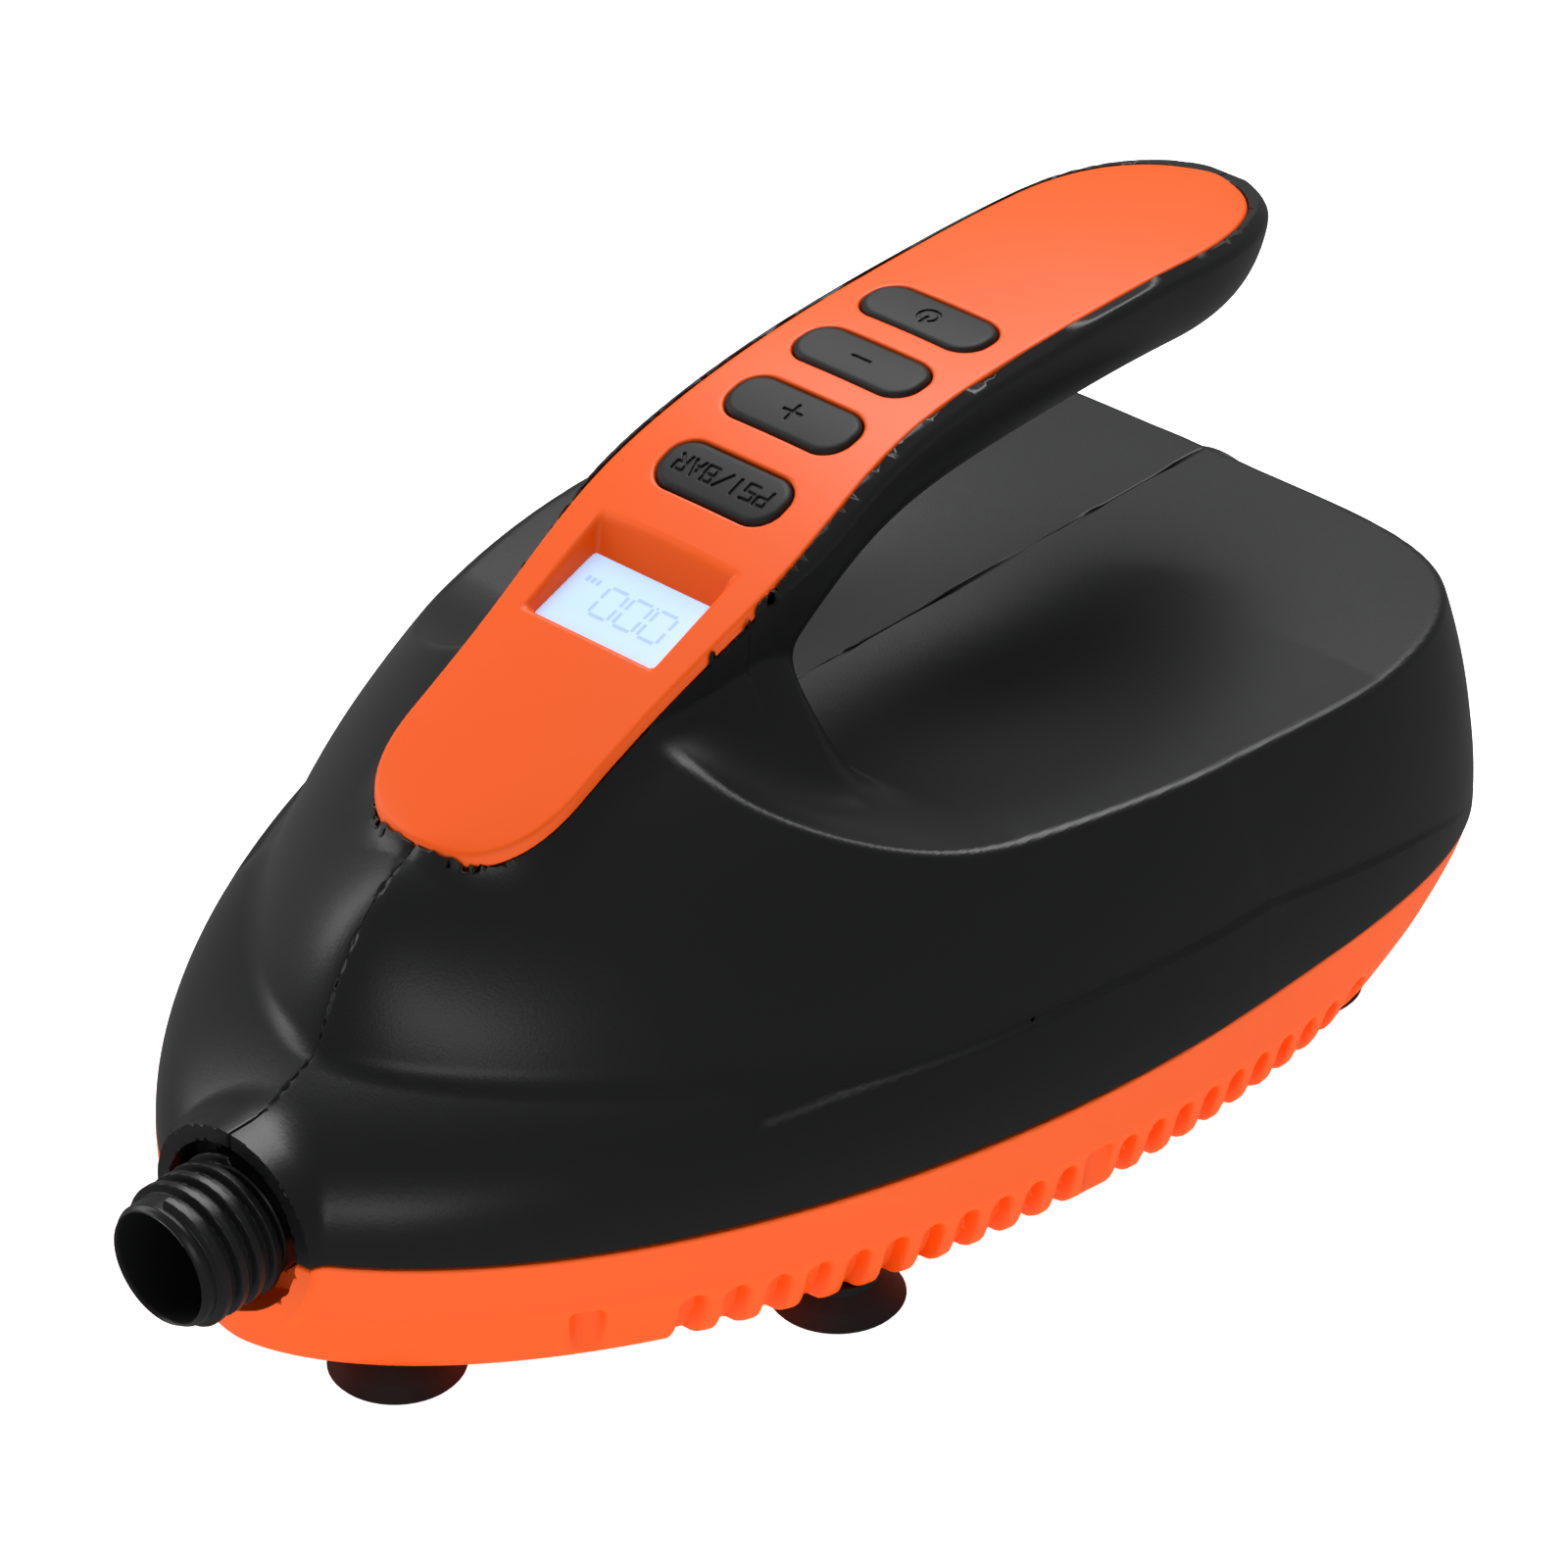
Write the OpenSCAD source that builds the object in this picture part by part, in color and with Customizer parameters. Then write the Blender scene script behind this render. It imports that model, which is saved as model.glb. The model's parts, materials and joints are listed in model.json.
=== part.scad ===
// Electric board inflator: two half shells with an open handle, a base tray with vents,
// a blower and a geared piston compressor feeding one threaded hose nozzle.

/* [Body] */
// Half width of the body at its widest station
body_half_w = 95; // [80:1:110]
// Distance from the widest station to the front tip of the skirt
front_len = 186; // [170:1:200]
// Distance from the widest station to the rear wall
rear_len = 102; // [90:1:115]
// Height of the seam between the tray and the shells
seam_z = 33; // [30:0.5:36]
// Wall thickness of the shells and the tray
wall = 2.5; // [2:0.1:3.5]
// Height of the rear deck over the floor on the centre line
deck_z = 80.5; // [78:0.1:84]
// Fall of the deck towards the rear, height per length
deck_fall = 0.02; // [0:0.001:0.04]
// Height of the deck edge over the deck centre
deck_dish = 4; // [0:0.5:6]
// Rise of the deck against the handle root
root_rise = 25; // [18:0.5:27]

/* [Handle] */
// Height where the rising line of the handle crosses the datum station
rise_z = 129.5; // [125:0.5:134]
// Slope of the rising line of the handle
rise_slope = 0.505; // [0.4:0.005:0.6]
// Height of the level part of the handle
crest_z = 146.5; // [142:0.5:152]
// Depth of the handle grip below its top
grip_depth = 24; // [20:0.5:28]
// Half width of the orange panel
panel_half_w = 21.5; // [19:0.5:24]
// Width of the rim beside the panel
rim_w = 3; // [2:0.1:4]
// Station of the handle end behind the datum
handle_end = 165; // [155:1:167]

/* [Controls] */
// Length of a button across the handle
button_len = 30; // [24:0.5:32]
// Width of a button along the handle
button_w = 12.5; // [10:0.5:14]
// Spacing of the buttons along the handle
button_pitch = 19.5; // [16:0.5:22]
// Height of a button over the panel
button_proud = 1.2; // [0.8:0.1:1.6]
// Travel of a button
button_travel = 0.8; // [0.5:0.1:1]
// Width of the display glass
glass_w = 31.4; // [26:0.2:34]
// Length of the display glass
glass_l = 18; // [14:0.5:20]

/* [Nozzle] */
// Bore radius of the hose nozzle
bore_r = 11; // [9:0.25:11.5]
// Outer radius of the plain nozzle tube
tube_r = 12.5; // [12.25:0.25:13]
// Outer radius of the thread crests
thread_r = 14; // [13.75:0.25:14.5]
// Distance from one thread crest to the next
thread_pitch = 4.2; // [3.8:0.1:5]
// Number of thread crests
thread_turns = 4; // [3:1:4]

/* [Feet and vents] */
// Radius of a suction foot
foot_r = 13.2; // [11:0.1:14]
// Height of a suction foot under the tray
foot_h = 7; // [6:0.5:9]
// Number of vent slots in the front row
vents_front = 10; // [6:1:10]
// Number of vent slots in the rear row
vents_rear = 8; // [6:1:8]
// Width of a vent slot
vent_w = 4.2; // [3:0.1:4.6]

/* [Blower] */
// Radius of the blower impeller
impeller_r = 34; // [28:0.5:36]
// Number of impeller blades
blade_count = 9; // [6:1:12]
// Radius of the blower motor can
blower_can_r = 18; // [15:0.5:20]

/* [Compressor] */
// Teeth on the pinion
pinion_teeth = 12; // [10:1:14]
// Teeth on the crank gear
gear_teeth = 48; // [40:1:52]
// Pitch diameter per tooth of the gear pair
gear_module = 1; // [0.9:0.05:1.05]
// Throw of the crank pin from the gear centre
crank_throw = 7; // [5:0.5:8]
// Radius of the cylinder bore
cyl_r = 11; // [9:0.25:12]
// Radius of the compressor motor can
comp_can_r = 19; // [16:0.5:19]

/* [Output] */
// Sub-part to draw

/* [Hidden] */

// Colours
black_plastic = [0.09, 0.09, 0.1];
orange_plastic = [0.96, 0.36, 0.08];
rubber_black = [0.05, 0.05, 0.05];
steel = [0.7, 0.7, 0.72];
alloy = [0.78, 0.79, 0.8];
brass_tone = [0.8, 0.65, 0.3];
board_green = [0.1, 0.4, 0.2];
grey_plastic = [0.45, 0.46, 0.48];
white_plastic = [0.88, 0.88, 0.86];
glass_tone = [0.75, 0.85, 0.95];

// Fits and small sizes
eps = 0.01;
slip = 0.3;
press_gap = 0.05;
run_gap = 0.05;
cut_over = 30;
widest_y = 60;
dome_front_len = front_len - 22;
nozzle_mouth = -140;
nozzle_z = seam_z + 1;
port_out = 6;
shift_y = (nozzle_mouth + widest_y + rear_len + port_out) / 2;
round_fn = 48;
small_fn = 24;
base_z = foot_h;
floor_z = base_z + wall;
front_tip = widest_y - front_len;
rear_tip = widest_y + rear_len;
spine_front = -71;
spine_rear = widest_y + 0.75 * rear_len;
ridge_cap = 131;
ridge_blend = 10;
crest_fall = 0.015;
crest_blend = 15;
tail_y = 100;
tail_len = 58;
tail_drop = 3.5;
lap = 1.5;
panel_t = 3;
panel_fit = 0.15;
panel_crown = 0.8;
panel_front = spine_front;
panel_end = handle_end - 6;

function clamp01(v) = min(1, max(0, v));
function ease(v) = clamp01(v) * clamp01(v) * (3 - 2 * clamp01(v));
function mix(a, b, f) = a + (b - a) * f;
function smin(a, b, k) = (a + b - sqrt((a - b) * (a - b) + k * k)) / 2;
function spow(v, e) = pow(max(v, 0), e);

// Plan outline: t runs from 0 at the front tip to 180 at the rear tip
function side_angle(t) = t < 90 ? 90 - t : t - 90;
function outline_x(t, hw) = hw * spow(cos(side_angle(t)), t < 90 ? 1.2 : 0.385);
function outline_y(t, fl, rl) = t < 90 ? widest_y - fl * sin(side_angle(t))
    : widest_y + rl * spow(sin(side_angle(t)), 0.6);
function half_width(y, hw, fl) = hw * spow(1 - pow(clamp01((widest_y - y) / fl), 2), 0.6);

// Top line of the handle and panel on the centre plane
function top_z(y) = smin(rise_z + rise_slope * y, crest_z - crest_fall * y, crest_blend)
    - tail_drop * pow(max(0, y - tail_y) / tail_len, 2);
function top_slope(y) = atan(top_z(y + 0.5) - top_z(y - 0.5));
function under_z(y) = top_z(y) - grip_depth - 60 * exp(-(y + 8) / 7);
function ridge_z(y) = smin(rise_z - 2 + rise_slope * y, ridge_cap, ridge_blend);
function deck_at(x, y) = deck_z - deck_fall * y
    + deck_dish * pow(x / 85, 2) * clamp01((110 - y) / 100) + 0.0085 * pow(max(0, 16 - y), 2)
    + root_rise * exp(-pow(max(0, x - 22) / 13, 2)) * ease((y + 45) / 50) * (1 - ease((y - 2) / 14));

// Upper dome: a point for plan angle t and rise angle p, g is the inset of the inner skin
function dome_point(t, p, g) =
    let (qx = outline_x(t, body_half_w - g), qy = outline_y(t, dome_front_len - g, rear_len - g),
        b = ease((t - 60) / 50), m = mix(1.7, 2.1, b), n = mix(1.7, 2.1, b),
        f = (qy - widest_y + dome_front_len) / (dome_front_len + rear_len),
        sy = mix(spine_front + g, spine_rear, f), sz = ridge_z(sy) - g,
        c = spow(cos(p), 2 / m), s = spow(sin(p), 2 / n))
    [qx * c, sy + (qy - sy) * c, seam_z + (sz - seam_z) * s];

// Lower skirt that makes the ledge round the nose
function skirt_point(t, p, g) =
    let (qx = outline_x(t, body_half_w - 0.4 - g), qy = outline_y(t, front_len - g, rear_len - 0.4 - g),
        f = (qy - front_tip) / (front_len + rear_len), b = ease(t / 70),
        sy = mix(-60, spine_rear - 4, f), sz = 66 + 18 * f - g,
        c = spow(cos(p), 2 / mix(2, 3, b)), s = spow(sin(p), 2 / mix(2, 2.4, b)))
    [qx * c, sy + (qy - sy) * c, seam_z + (sz - seam_z) * s];

// Tray: z runs from the bottom edge to the seam
tray_rear_cut = 34;
tray_side_in = 6;
tray_mid_in = 1.6;
tray_front_in = 1.5;
function tray_point(t, h, g) =
    let (k = 1 - h, r = pow(k, 1.4), lip = 1.6 * pow(k, 8),
        side = mix(tray_mid_in, tray_side_in, ease((t - 80) / 60)))
    [outline_x(t, body_half_w - side * r - lip - g),
        outline_y(t, front_len - tray_front_in * r - lip - g, rear_len - tray_rear_cut * r - lip - g),
        base_z + (seam_z - base_z) * h];

// Faces of a patch whose rows close on the centre plane and on the seam plane
function patch_faces(nu, nv) = concat(
    [for (i = [0:nu - 2]) for (j = [0:nv - 2]) each [
        [i * nv + j, i * nv + j + 1, (i + 1) * nv + j],
        [(i + 1) * nv + j, i * nv + j + 1, (i + 1) * nv + j + 1]]],
    [[for (i = [0:nu - 1]) i * nv]],
    [concat([for (j = [nv - 1:-1:0]) j], [for (j = [0:nv - 1]) (nu - 1) * nv + j],
        [for (i = [nu - 2:-1:1]) i * nv + nv - 1])]);

nu_body = 27;
nv_body = 12;
module dome_half(g) {
    polyhedron(points = [for (i = [0:nu_body - 1]) for (j = [0:nv_body - 1])
        dome_point(180 * i / (nu_body - 1), 90 * j / (nv_body - 1), g)],
        faces = patch_faces(nu_body, nv_body), convexity = 6);
}
module skirt_half(g) {
    polyhedron(points = [for (i = [0:nu_body - 1]) for (j = [0:nv_body - 1])
        skirt_point(180 * i / (nu_body - 1), 90 * j / (nv_body - 1), g)],
        faces = patch_faces(nu_body, nv_body), convexity = 6);
}

// Closed loft through equal rings
function ring_faces(nr, np) = concat(
    [for (i = [0:nr - 2]) for (j = [0:np - 1]) let (k = (j + 1) % np) each [
        [i * np + j, (i + 1) * np + j, i * np + k],
        [(i + 1) * np + j, (i + 1) * np + k, i * np + k]]],
    [[for (j = [0:np - 1]) j]], [[for (j = [np - 1:-1:0]) (nr - 1) * np + j]]);

// Everything above the deck surface
nx_cut = 14;
ny_cut = 42;
cut_y0 = -52;
module deck_cut(g) {
    span = rear_tip + cut_over - cut_y0;
    rings = [for (i = [0:ny_cut - 1]) let (y = cut_y0 + span * i / (ny_cut - 1)) concat(
        [for (j = [0:nx_cut - 1]) let (x = -5 + (body_half_w + 20) * j / (nx_cut - 1))
            [x, y, deck_at(x, y) - g]],
        [[body_half_w + 15, y, 260], [-5, y, 260]])];
    polyhedron(points = [for (r = rings) each r],
        faces = [for (f = ring_faces(ny_cut, nx_cut + 2)) [for (k = [len(f) - 1:-1:0]) f[k]]],
        convexity = 6);
}

// Handle grip: stations along the handle, each a rounded half section
function panel_w(y) = panel_half_w + 3.5 * exp(-pow((y - 3) / 28, 2));
function end_round(y, y0, y1, len0, len1) = spow(1 - pow(clamp01((y0 + len0 - y) / len0), 2.4), 1 / 2.4)
    * spow(1 - pow(clamp01((y - y1 + len1) / len1), 2.2), 1 / 2.2);
nose_round = 18;
tail_round = 42;
grip_front = panel_front - rim_w;
function grip_w(y, inset) = (panel_w(y) + rim_w - inset)
    * end_round(y, grip_front + inset, handle_end - inset, nose_round, tail_round);
ns_grip = 34;
na_grip = 9;
function grip_y(i, n, inset) = mix(grip_front + inset, handle_end - inset,
    0.5 - 0.5 * cos(180 * i / (n - 1)));
function grip_ring(y, w, g, up) =
    let (zt = top_z(y), d = zt - max(under_z(y), 78), wt = max(w, 0.05),
        shrink = mix(0.25, 1, spow(w / (panel_half_w + rim_w), 0.8)))
    concat([[0, y, zt + up], [wt, y, zt + up]],
        [for (a = [1:na_grip]) let (q = 90 * a / na_grip)
            [wt * spow(cos(q), 0.62), y, zt - (d - g) * shrink * spow(sin(q), 0.75)]]);
module grip_half(inset, g, up) {
    polyhedron(points = [for (i = [0:ns_grip - 1]) let (y = grip_y(i, ns_grip, inset))
        each grip_ring(y, grip_w(y, inset), g, up)],
        faces = ring_faces(ns_grip, na_grip + 2), convexity = 6);
}

// Plate that follows the top line of the handle
nx_plate = 4;
ns_plate = 32;
module top_plate(inset, y0, y1, lo, hi, crown) {
    rings = [for (i = [0:ns_plate - 1]) let (y = mix(y0 + inset, y1 - inset, 0.5 - 0.5 * cos(180 * i / (ns_plate - 1))),
        w = max(0.05, (panel_w(y) - inset) * end_round(y, y0 + inset, y1 - inset, nose_round - 2, tail_round - 4)))
        concat([for (j = [-nx_plate:nx_plate]) let (u = j / nx_plate)
            [w * u, y, top_z(y) + hi + crown * (1 - u * u)]],
            [for (j = [nx_plate:-1:-nx_plate]) [w * j / nx_plate, y, top_z(y) + lo]])];
    polyhedron(points = [for (r = rings) each r],
        faces = ring_faces(ns_plate, 4 * nx_plate + 2),
        convexity = 6);
}

module place() {
    translate([0, -shift_y, 0]) children();
}
module rod_y(r, y0, y1, x, z, fn) {
    translate([x, y0, z]) rotate([-90, 0, 0]) cylinder(h = y1 - y0, r = r, $fn = fn);
}
module rod_x(r, x0, x1, y, z, fn) {
    translate([x0, y, z]) rotate([0, 90, 0]) cylinder(h = x1 - x0, r = r, $fn = fn);
}
module rod_z(r, z0, z1, x, y, fn) {
    translate([x, y, z0]) cylinder(h = z1 - z0, r = r, $fn = fn);
}

// Stations of the screw bosses and of the feet
boss_y = [-84, 18, 95];
boss_in = 9;
boss_r = 4.5;
screw_r = 1.5;
head_r = 3;
head_h = 2.4;
boss_top = seam_z + 14;
function boss_x(y) = half_width(y, body_half_w, front_len) * (y > widest_y ? 0.975 : 1) - boss_in
    - (y < 0 ? 1 : 0);
feet_xy = [[20, -100], [66.5, -29.5], [67, 109.4]];

// Rear fittings
port_z = 57;
port_x = 0;
port_r = 11;
port_tube_r = 13;
port_flange_r = 17;
inlet_x = 44;
inlet_z = 46;
inlet_r = 5.8;
wall_y = rear_tip - 1;

// Collar round the nozzle
collar_r = 20;
collar_y0 = -121;
collar_y1 = -98;
collar_gap_r = 16.6;
block_w = 16;
collar_gap_y = -115;
nozzle_flange_r = 16.5;
nozzle_flange_y0 = -107;
nozzle_flange_t = 3;
saddle_t = 2.5;
saddle_y0 = nozzle_flange_y0 + nozzle_flange_t;
module nozzle_hole() {
    rod_y(tube_r + slip, nozzle_mouth - 1, saddle_y0 + 20, 0, nozzle_z, round_fn);
    rod_y(collar_gap_r, nozzle_mouth - 1, collar_gap_y, 0, nozzle_z, round_fn);
    rod_y(nozzle_flange_r + slip, nozzle_flange_y0, saddle_y0, 0, nozzle_z, round_fn);
    rod_y(tube_r + 2.7, nozzle_flange_y0 - 2, nozzle_flange_y0 + 1, 0, nozzle_z, round_fn);
    rod_y(collar_gap_r - 1, saddle_y0 + saddle_t, saddle_y0 + saddle_t + 30, 0, nozzle_z, round_fn);
}

module shell_half() {
    difference() {
        union() {
            difference() {
                union() {
                    difference() {
                        union() {
                            dome_half(0);
                            skirt_half(0);
                        }
                        deck_cut(0);
                    }
                    grip_half(0, 0, 0);
                    intersection() {
                        rod_y(collar_r, collar_y0, collar_y1, 0, nozzle_z, round_fn);
                        translate([0, -200, seam_z]) cube([60, 200, 60]);
                    }
                }
                difference() {
                    union() {
                        dome_half(wall);
                        skirt_half(wall);
                    }
                    deck_cut(wall);
                    translate([-1, nozzle_mouth, 0])
                        cube([1 + block_w, collar_y1 + 4 - nozzle_mouth, 90]);
                }
                intersection() {
                    grip_half(rim_w + lap, wall, 5);
                    translate([-1, -200, 60]) cube([60, 400, 100]);
                }
                top_plate(-panel_fit, panel_front, panel_end, -panel_t, 20, 0);
            }
            for (y = boss_y) {
                hull() {
                    rod_z(boss_r, seam_z + 0.2, boss_top, boss_x(y), y, small_fn);
                    rod_z(boss_r, seam_z + 0.2, boss_top - 9, boss_x(y) + 3, y, small_fn);
                }
                hull() {
                    translate([boss_x(y), y - 1, seam_z + 2]) cube([boss_in, 2, 2]);
                    translate([boss_x(y), y - 1, seam_z + 4]) cube([1, 2, 6]);
                }
            }
            for (y = [20, 60, 100]) {
                hull() {
                    translate([eps, y - 1, deck_z - deck_fall * y - 8]) cube([1, 2, 5]);
                    translate([20, y - 1, deck_z - deck_fall * y - 4]) cube([1, 2, 2]);
                }
            }
        }
        nozzle_hole();
        rod_y(port_tube_r + slip, wall_y - 12, wall_y + 12, port_x, port_z, round_fn);
        rod_y(port_flange_r + 2, wall_y - 1 - 30, wall_y - 3, port_x, port_z, round_fn);
        for (y = boss_y) {
            rod_z(screw_r + press_gap, seam_z - 1, boss_top - 2, boss_x(y), y, small_fn);
        }
        translate([-20, -200, -5]) cube([20, 500, 300]);
        translate([-1, -200, seam_z - 50]) cube([150, 500, 50]);
    }
}

module right_shell() {
    color(black_plastic) place() difference() {
        shell_half();
        rod_y(inlet_r + slip, wall_y - 14, wall_y + 14, inlet_x, inlet_z, round_fn);
    }
}
module left_shell() {
    color(black_plastic) place() mirror([1, 0, 0]) shell_half();
}

// Tray with floor, bosses, saddles and vents
nt_tray = 31;
nh_tray = 6;
module tray_solid(g, h0) {
    polyhedron(points = [for (j = [0:nh_tray - 1]) let (h = mix(h0, 1, pow(j / (nh_tray - 1), 1.6)))
        for (i = [0:2 * nt_tray - 3]) let (t = i < nt_tray ? 180 * i / (nt_tray - 1)
            : 180 * (2 * nt_tray - 2 - i) / (nt_tray - 1), q = tray_point(t, h, g))
            [i < nt_tray ? q[0] : -q[0], q[1], q[2] + (g > 0 && j == nh_tray - 1 ? 1 : 0)]],
        faces = ring_faces(nh_tray, 2 * nt_tray - 2), convexity = 6);
}
vent_top = base_z + 12;
vent_z0 = base_z - 2;
vent_deep = 7;
vent_gap_y = 5;
function vent_y(i) = i < vents_front ? mix(-75, boss_y[1] - vent_gap_y - 5, i / (vents_front - 1))
    : mix(boss_y[1] + vent_gap_y + 4, boss_y[2] - vent_gap_y - 4, (i - vents_front) / (vents_rear - 1));
function tray_w(y) = half_width(y, body_half_w - tray_mid_in, front_len - tray_front_in)
    - (tray_side_in - tray_mid_in) * ease((y - 40) / 60);
module vent_slot(x, y, turn) {
    h = vent_w / 2;
    translate([x, y, 0]) rotate([0, 0, turn]) translate([-vent_deep, 0, 0]) rotate([90, 0, 90])
        linear_extrude(height = 2 * vent_deep) polygon([[-h, vent_z0], [h, vent_z0], [h, vent_top],
            [h * 0.6, vent_top + h * 0.8], [-h * 0.6, vent_top + h * 0.8], [-h, vent_top]]);
}
notch_r = 3.4;
notch_top = base_z + 13;
module tray_boss(x, y) {
    rod_z(boss_r + 0.5, base_z + 1, seam_z + 0.7, x, y, small_fn);
    e = x > 0 ? 1 : -1;
    translate([x, y - notch_r - 1.4, base_z + 1])
        scale([e, 1, 1]) cube([abs(tray_w(y)) - abs(x) - wall - 0.6 + wall, 2 * notch_r + 2.8, notch_top + 2 - base_z]);
}
module base_tray() {
    color(orange_plastic) place() difference() {
        union() {
            difference() {
                union() {
                    tray_solid(0, 0);
                    intersection() {
                        rod_y(collar_r, collar_y0, collar_y1, 0, nozzle_z, round_fn);
                        translate([-60, -200, 0]) cube([120, 200, seam_z]);
                    }
                }
                difference() {
                    tray_solid(wall, wall / (seam_z - base_z));
                    translate([-block_w, nozzle_mouth, 0])
                        cube([2 * block_w, saddle_y0 + saddle_t - nozzle_mouth, 90]);
                }
            }
            for (s = [-1, 1]) for (y = boss_y) tray_boss(s * boss_x(y), y);
            tray_mounts();
        }
        nozzle_hole();
        translate([-100, -200, seam_z]) cube([200, 400, 50]);
        for (s = [-1, 1]) {
            for (y = boss_y) {
                rod_z(screw_r + 0.25, base_z - 1, seam_z + 3, s * boss_x(y), y, small_fn);
                rod_z(head_r + slip, base_z - 1, base_z + 12, s * boss_x(y), y, small_fn);
                rod_z(notch_r, base_z - 1, notch_top, s * (tray_w(y) + 0.9), y, small_fn);
            }
            for (f = feet_xy) rod_z(3.1, base_z - 1, floor_z + 1, s * f[0], f[1], small_fn);
            for (i = [0:vents_front + vents_rear - 1]) {
                y = vent_y(i);
                turn = s * atan((tray_w(y + 1) - tray_w(y - 1)) / 2);
                vent_slot(s * tray_w(y), y, -turn);
            }
        }
    }
}

// Panel with the display opening and the button openings
post_x = 11;
post_shift = 1.9;
function post_y(side) = side * button_pitch + post_shift;
post_r = 2.1;
post_screw_r = 1.1;
glass_y = -14.7;
glass_z = top_z(glass_y) - 3.6;
glass_tilt = 19;
glass_t = 1.2;
button_y0 = 12.5;
button_ys = [for (i = [0:3]) button_y0 + i * button_pitch];
button_fit = 0.3;
module stadium(l, w, z0, z1, fn) {
    hull() {
        translate([-(l - w) / 2, 0, z0]) cylinder(h = z1 - z0, r = w / 2, $fn = fn);
        translate([(l - w) / 2, 0, z0]) cylinder(h = z1 - z0, r = w / 2, $fn = fn);
    }
}
module at_button(i) {
    y = button_ys[i];
    translate([0, y, top_z(y) + panel_crown * 0.8]) rotate([top_slope(y), 0, 0]) children();
}
module at_glass() {
    translate([0, glass_y, glass_z]) rotate([glass_tilt, 0, 0]) children();
}
well_wall = 1.6;
module handle_panel() {
    color(orange_plastic) place() difference() {
        union() {
            top_plate(0, panel_front, panel_end, -panel_t + 0.02, 0, panel_crown);
            intersection() {
                top_plate(rim_w + 1, panel_front, panel_end, -panel_t - 6, -1, 0);
                at_glass() translate([-glass_w / 2 - well_wall, -glass_l / 2 - well_wall, -glass_t - 2])
                    cube([glass_w + 2 * well_wall, glass_l + 2 * well_wall, 8]);
            }
            for (sx = [-1, 1]) for (sy = [-1, 1]) at_board()
                rod_z(post_r, 0.1, board_drop - 1.6, sx * post_x, post_y(sy), small_fn);
        }
        at_glass() hull() {
            translate([-glass_w / 2 + 0.8, -glass_l / 2 + 0.8, -0.5]) cube([glass_w - 1.6, glass_l - 1.6, 1]);
            translate([-glass_w / 2 - 2, -glass_l / 2 - 2.5, 8]) cube([glass_w + 4, glass_l + 11, 1]);
        }
        at_glass() translate([-glass_w / 2 - 0.1, -glass_l / 2 - 0.1, -glass_t - 5])
            cube([glass_w + 0.2, glass_l + 0.2, glass_t + 5.1]);
        for (sx = [-1, 1]) for (sy = [-1, 1]) at_board()
            rod_z(post_screw_r + press_gap, -1, 6, sx * post_x, post_y(sy), small_fn);
        for (i = [0:3]) at_button(i) stadium(button_len + 2 * button_fit, button_w + 2 * button_fit, -8, 8, small_fn);
    }
}
module display_glass() {
    color(glass_tone) place() at_glass() translate([-glass_w / 2, -glass_l / 2, -glass_t])
        cube([glass_w, glass_l, glass_t]);
}
module_t = 2.2;
module display_module() {
    color(white_plastic) place() at_glass()
        translate([-glass_w / 2, -glass_l / 2, -glass_t - module_t]) cube([glass_w, glass_l, module_t]);
}

// Control board below the buttons, in the plane of the middle of the row
board_t = 1.6;
board_half_w = 15;
board_mid_y = (button_ys[0] + button_ys[3]) / 2;
board_tilt = atan((top_z(button_ys[3]) - top_z(button_ys[0])) / (3 * button_pitch));
board_len = 3 * button_pitch + 16;
board_drop = 10.5;
switch_w = 6;
function board_mid_z() = (top_z(button_ys[0]) + top_z(button_ys[3])) / 2 - board_drop;
module at_board() {
    translate([0, board_mid_y, board_mid_z()]) rotate([board_tilt, 0, 0]) children();
}
module display_board() {
    color(board_green) place() at_board() difference() {
        translate([-board_half_w, -board_len / 2, -board_t]) cube([2 * board_half_w, board_len, board_t]);
        for (sx = [-1, 1]) for (sy = [-1, 1])
            rod_z(post_screw_r + 0.2, -board_t - 1, 1, sx * post_x, post_y(sy), small_fn);
    }
}
module board_screws() {
    color(steel) place() at_board() for (sx = [-1, 1]) for (sy = [-1, 1]) {
        rod_z(post_screw_r, -board_t - 0.5, 5, sx * post_x, post_y(sy), small_fn);
        rod_z(2, -board_t - 1.6, -board_t - 0.05, sx * post_x, post_y(sy), small_fn);
    }
}
function rot_y(y, z, a) = y * cos(a) - z * sin(a);
function rot_z(y, z, a) = y * sin(a) + z * cos(a);
// Height of the board top below a button frame, measured along the button axis
function board_below(i) = let (y = button_ys[i], a = top_slope(y), z = top_z(y) + panel_crown * 0.8,
    dy = y - board_mid_y, dz = z - board_mid_z(), n = rot_z(dy, dz, -board_tilt))
    n / cos(a - board_tilt);
switch_h = 3.4;
function switch_y(i) = let (y = button_ys[i], a = top_slope(y), dy = y - board_mid_y,
    dz = top_z(y) + panel_crown * 0.8 - board_mid_z())
    rot_y(dy, dz, -board_tilt) + board_below(i) * sin(a - board_tilt);
module tact_switches() {
    color(steel) place() at_board() for (i = [0:3]) translate([-switch_w / 2, switch_y(i) - switch_w / 2, 0])
        cube([switch_w, switch_w, switch_h]);
}
button_flange = 1.1;
flange_t = 0.9;
flange_top = -panel_t - panel_crown * 0.8 - 0.35;
stem_r = 2;
module button_cap(i) {
    a = abs(top_slope(button_ys[i]) - board_tilt);
    reach = -board_below(i) + switch_h / cos(a) + stem_r * tan(a) + button_travel + 0.15;
    color(rubber_black) place() at_button(i) union() {
        stadium(button_len, button_w, flange_top - flange_t, button_proud - panel_crown * 0.8, small_fn);
        stadium(button_len + 2 * button_flange, button_w - 0.4, flange_top - flange_t,
            flange_top, small_fn);
        translate([0, 0, reach]) cylinder(h = flange_top - reach, r = stem_r, $fn = small_fn);
    }
}
module button_units() { button_cap(0); }
module button_plus() { button_cap(1); }
module button_minus() { button_cap(2); }
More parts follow.
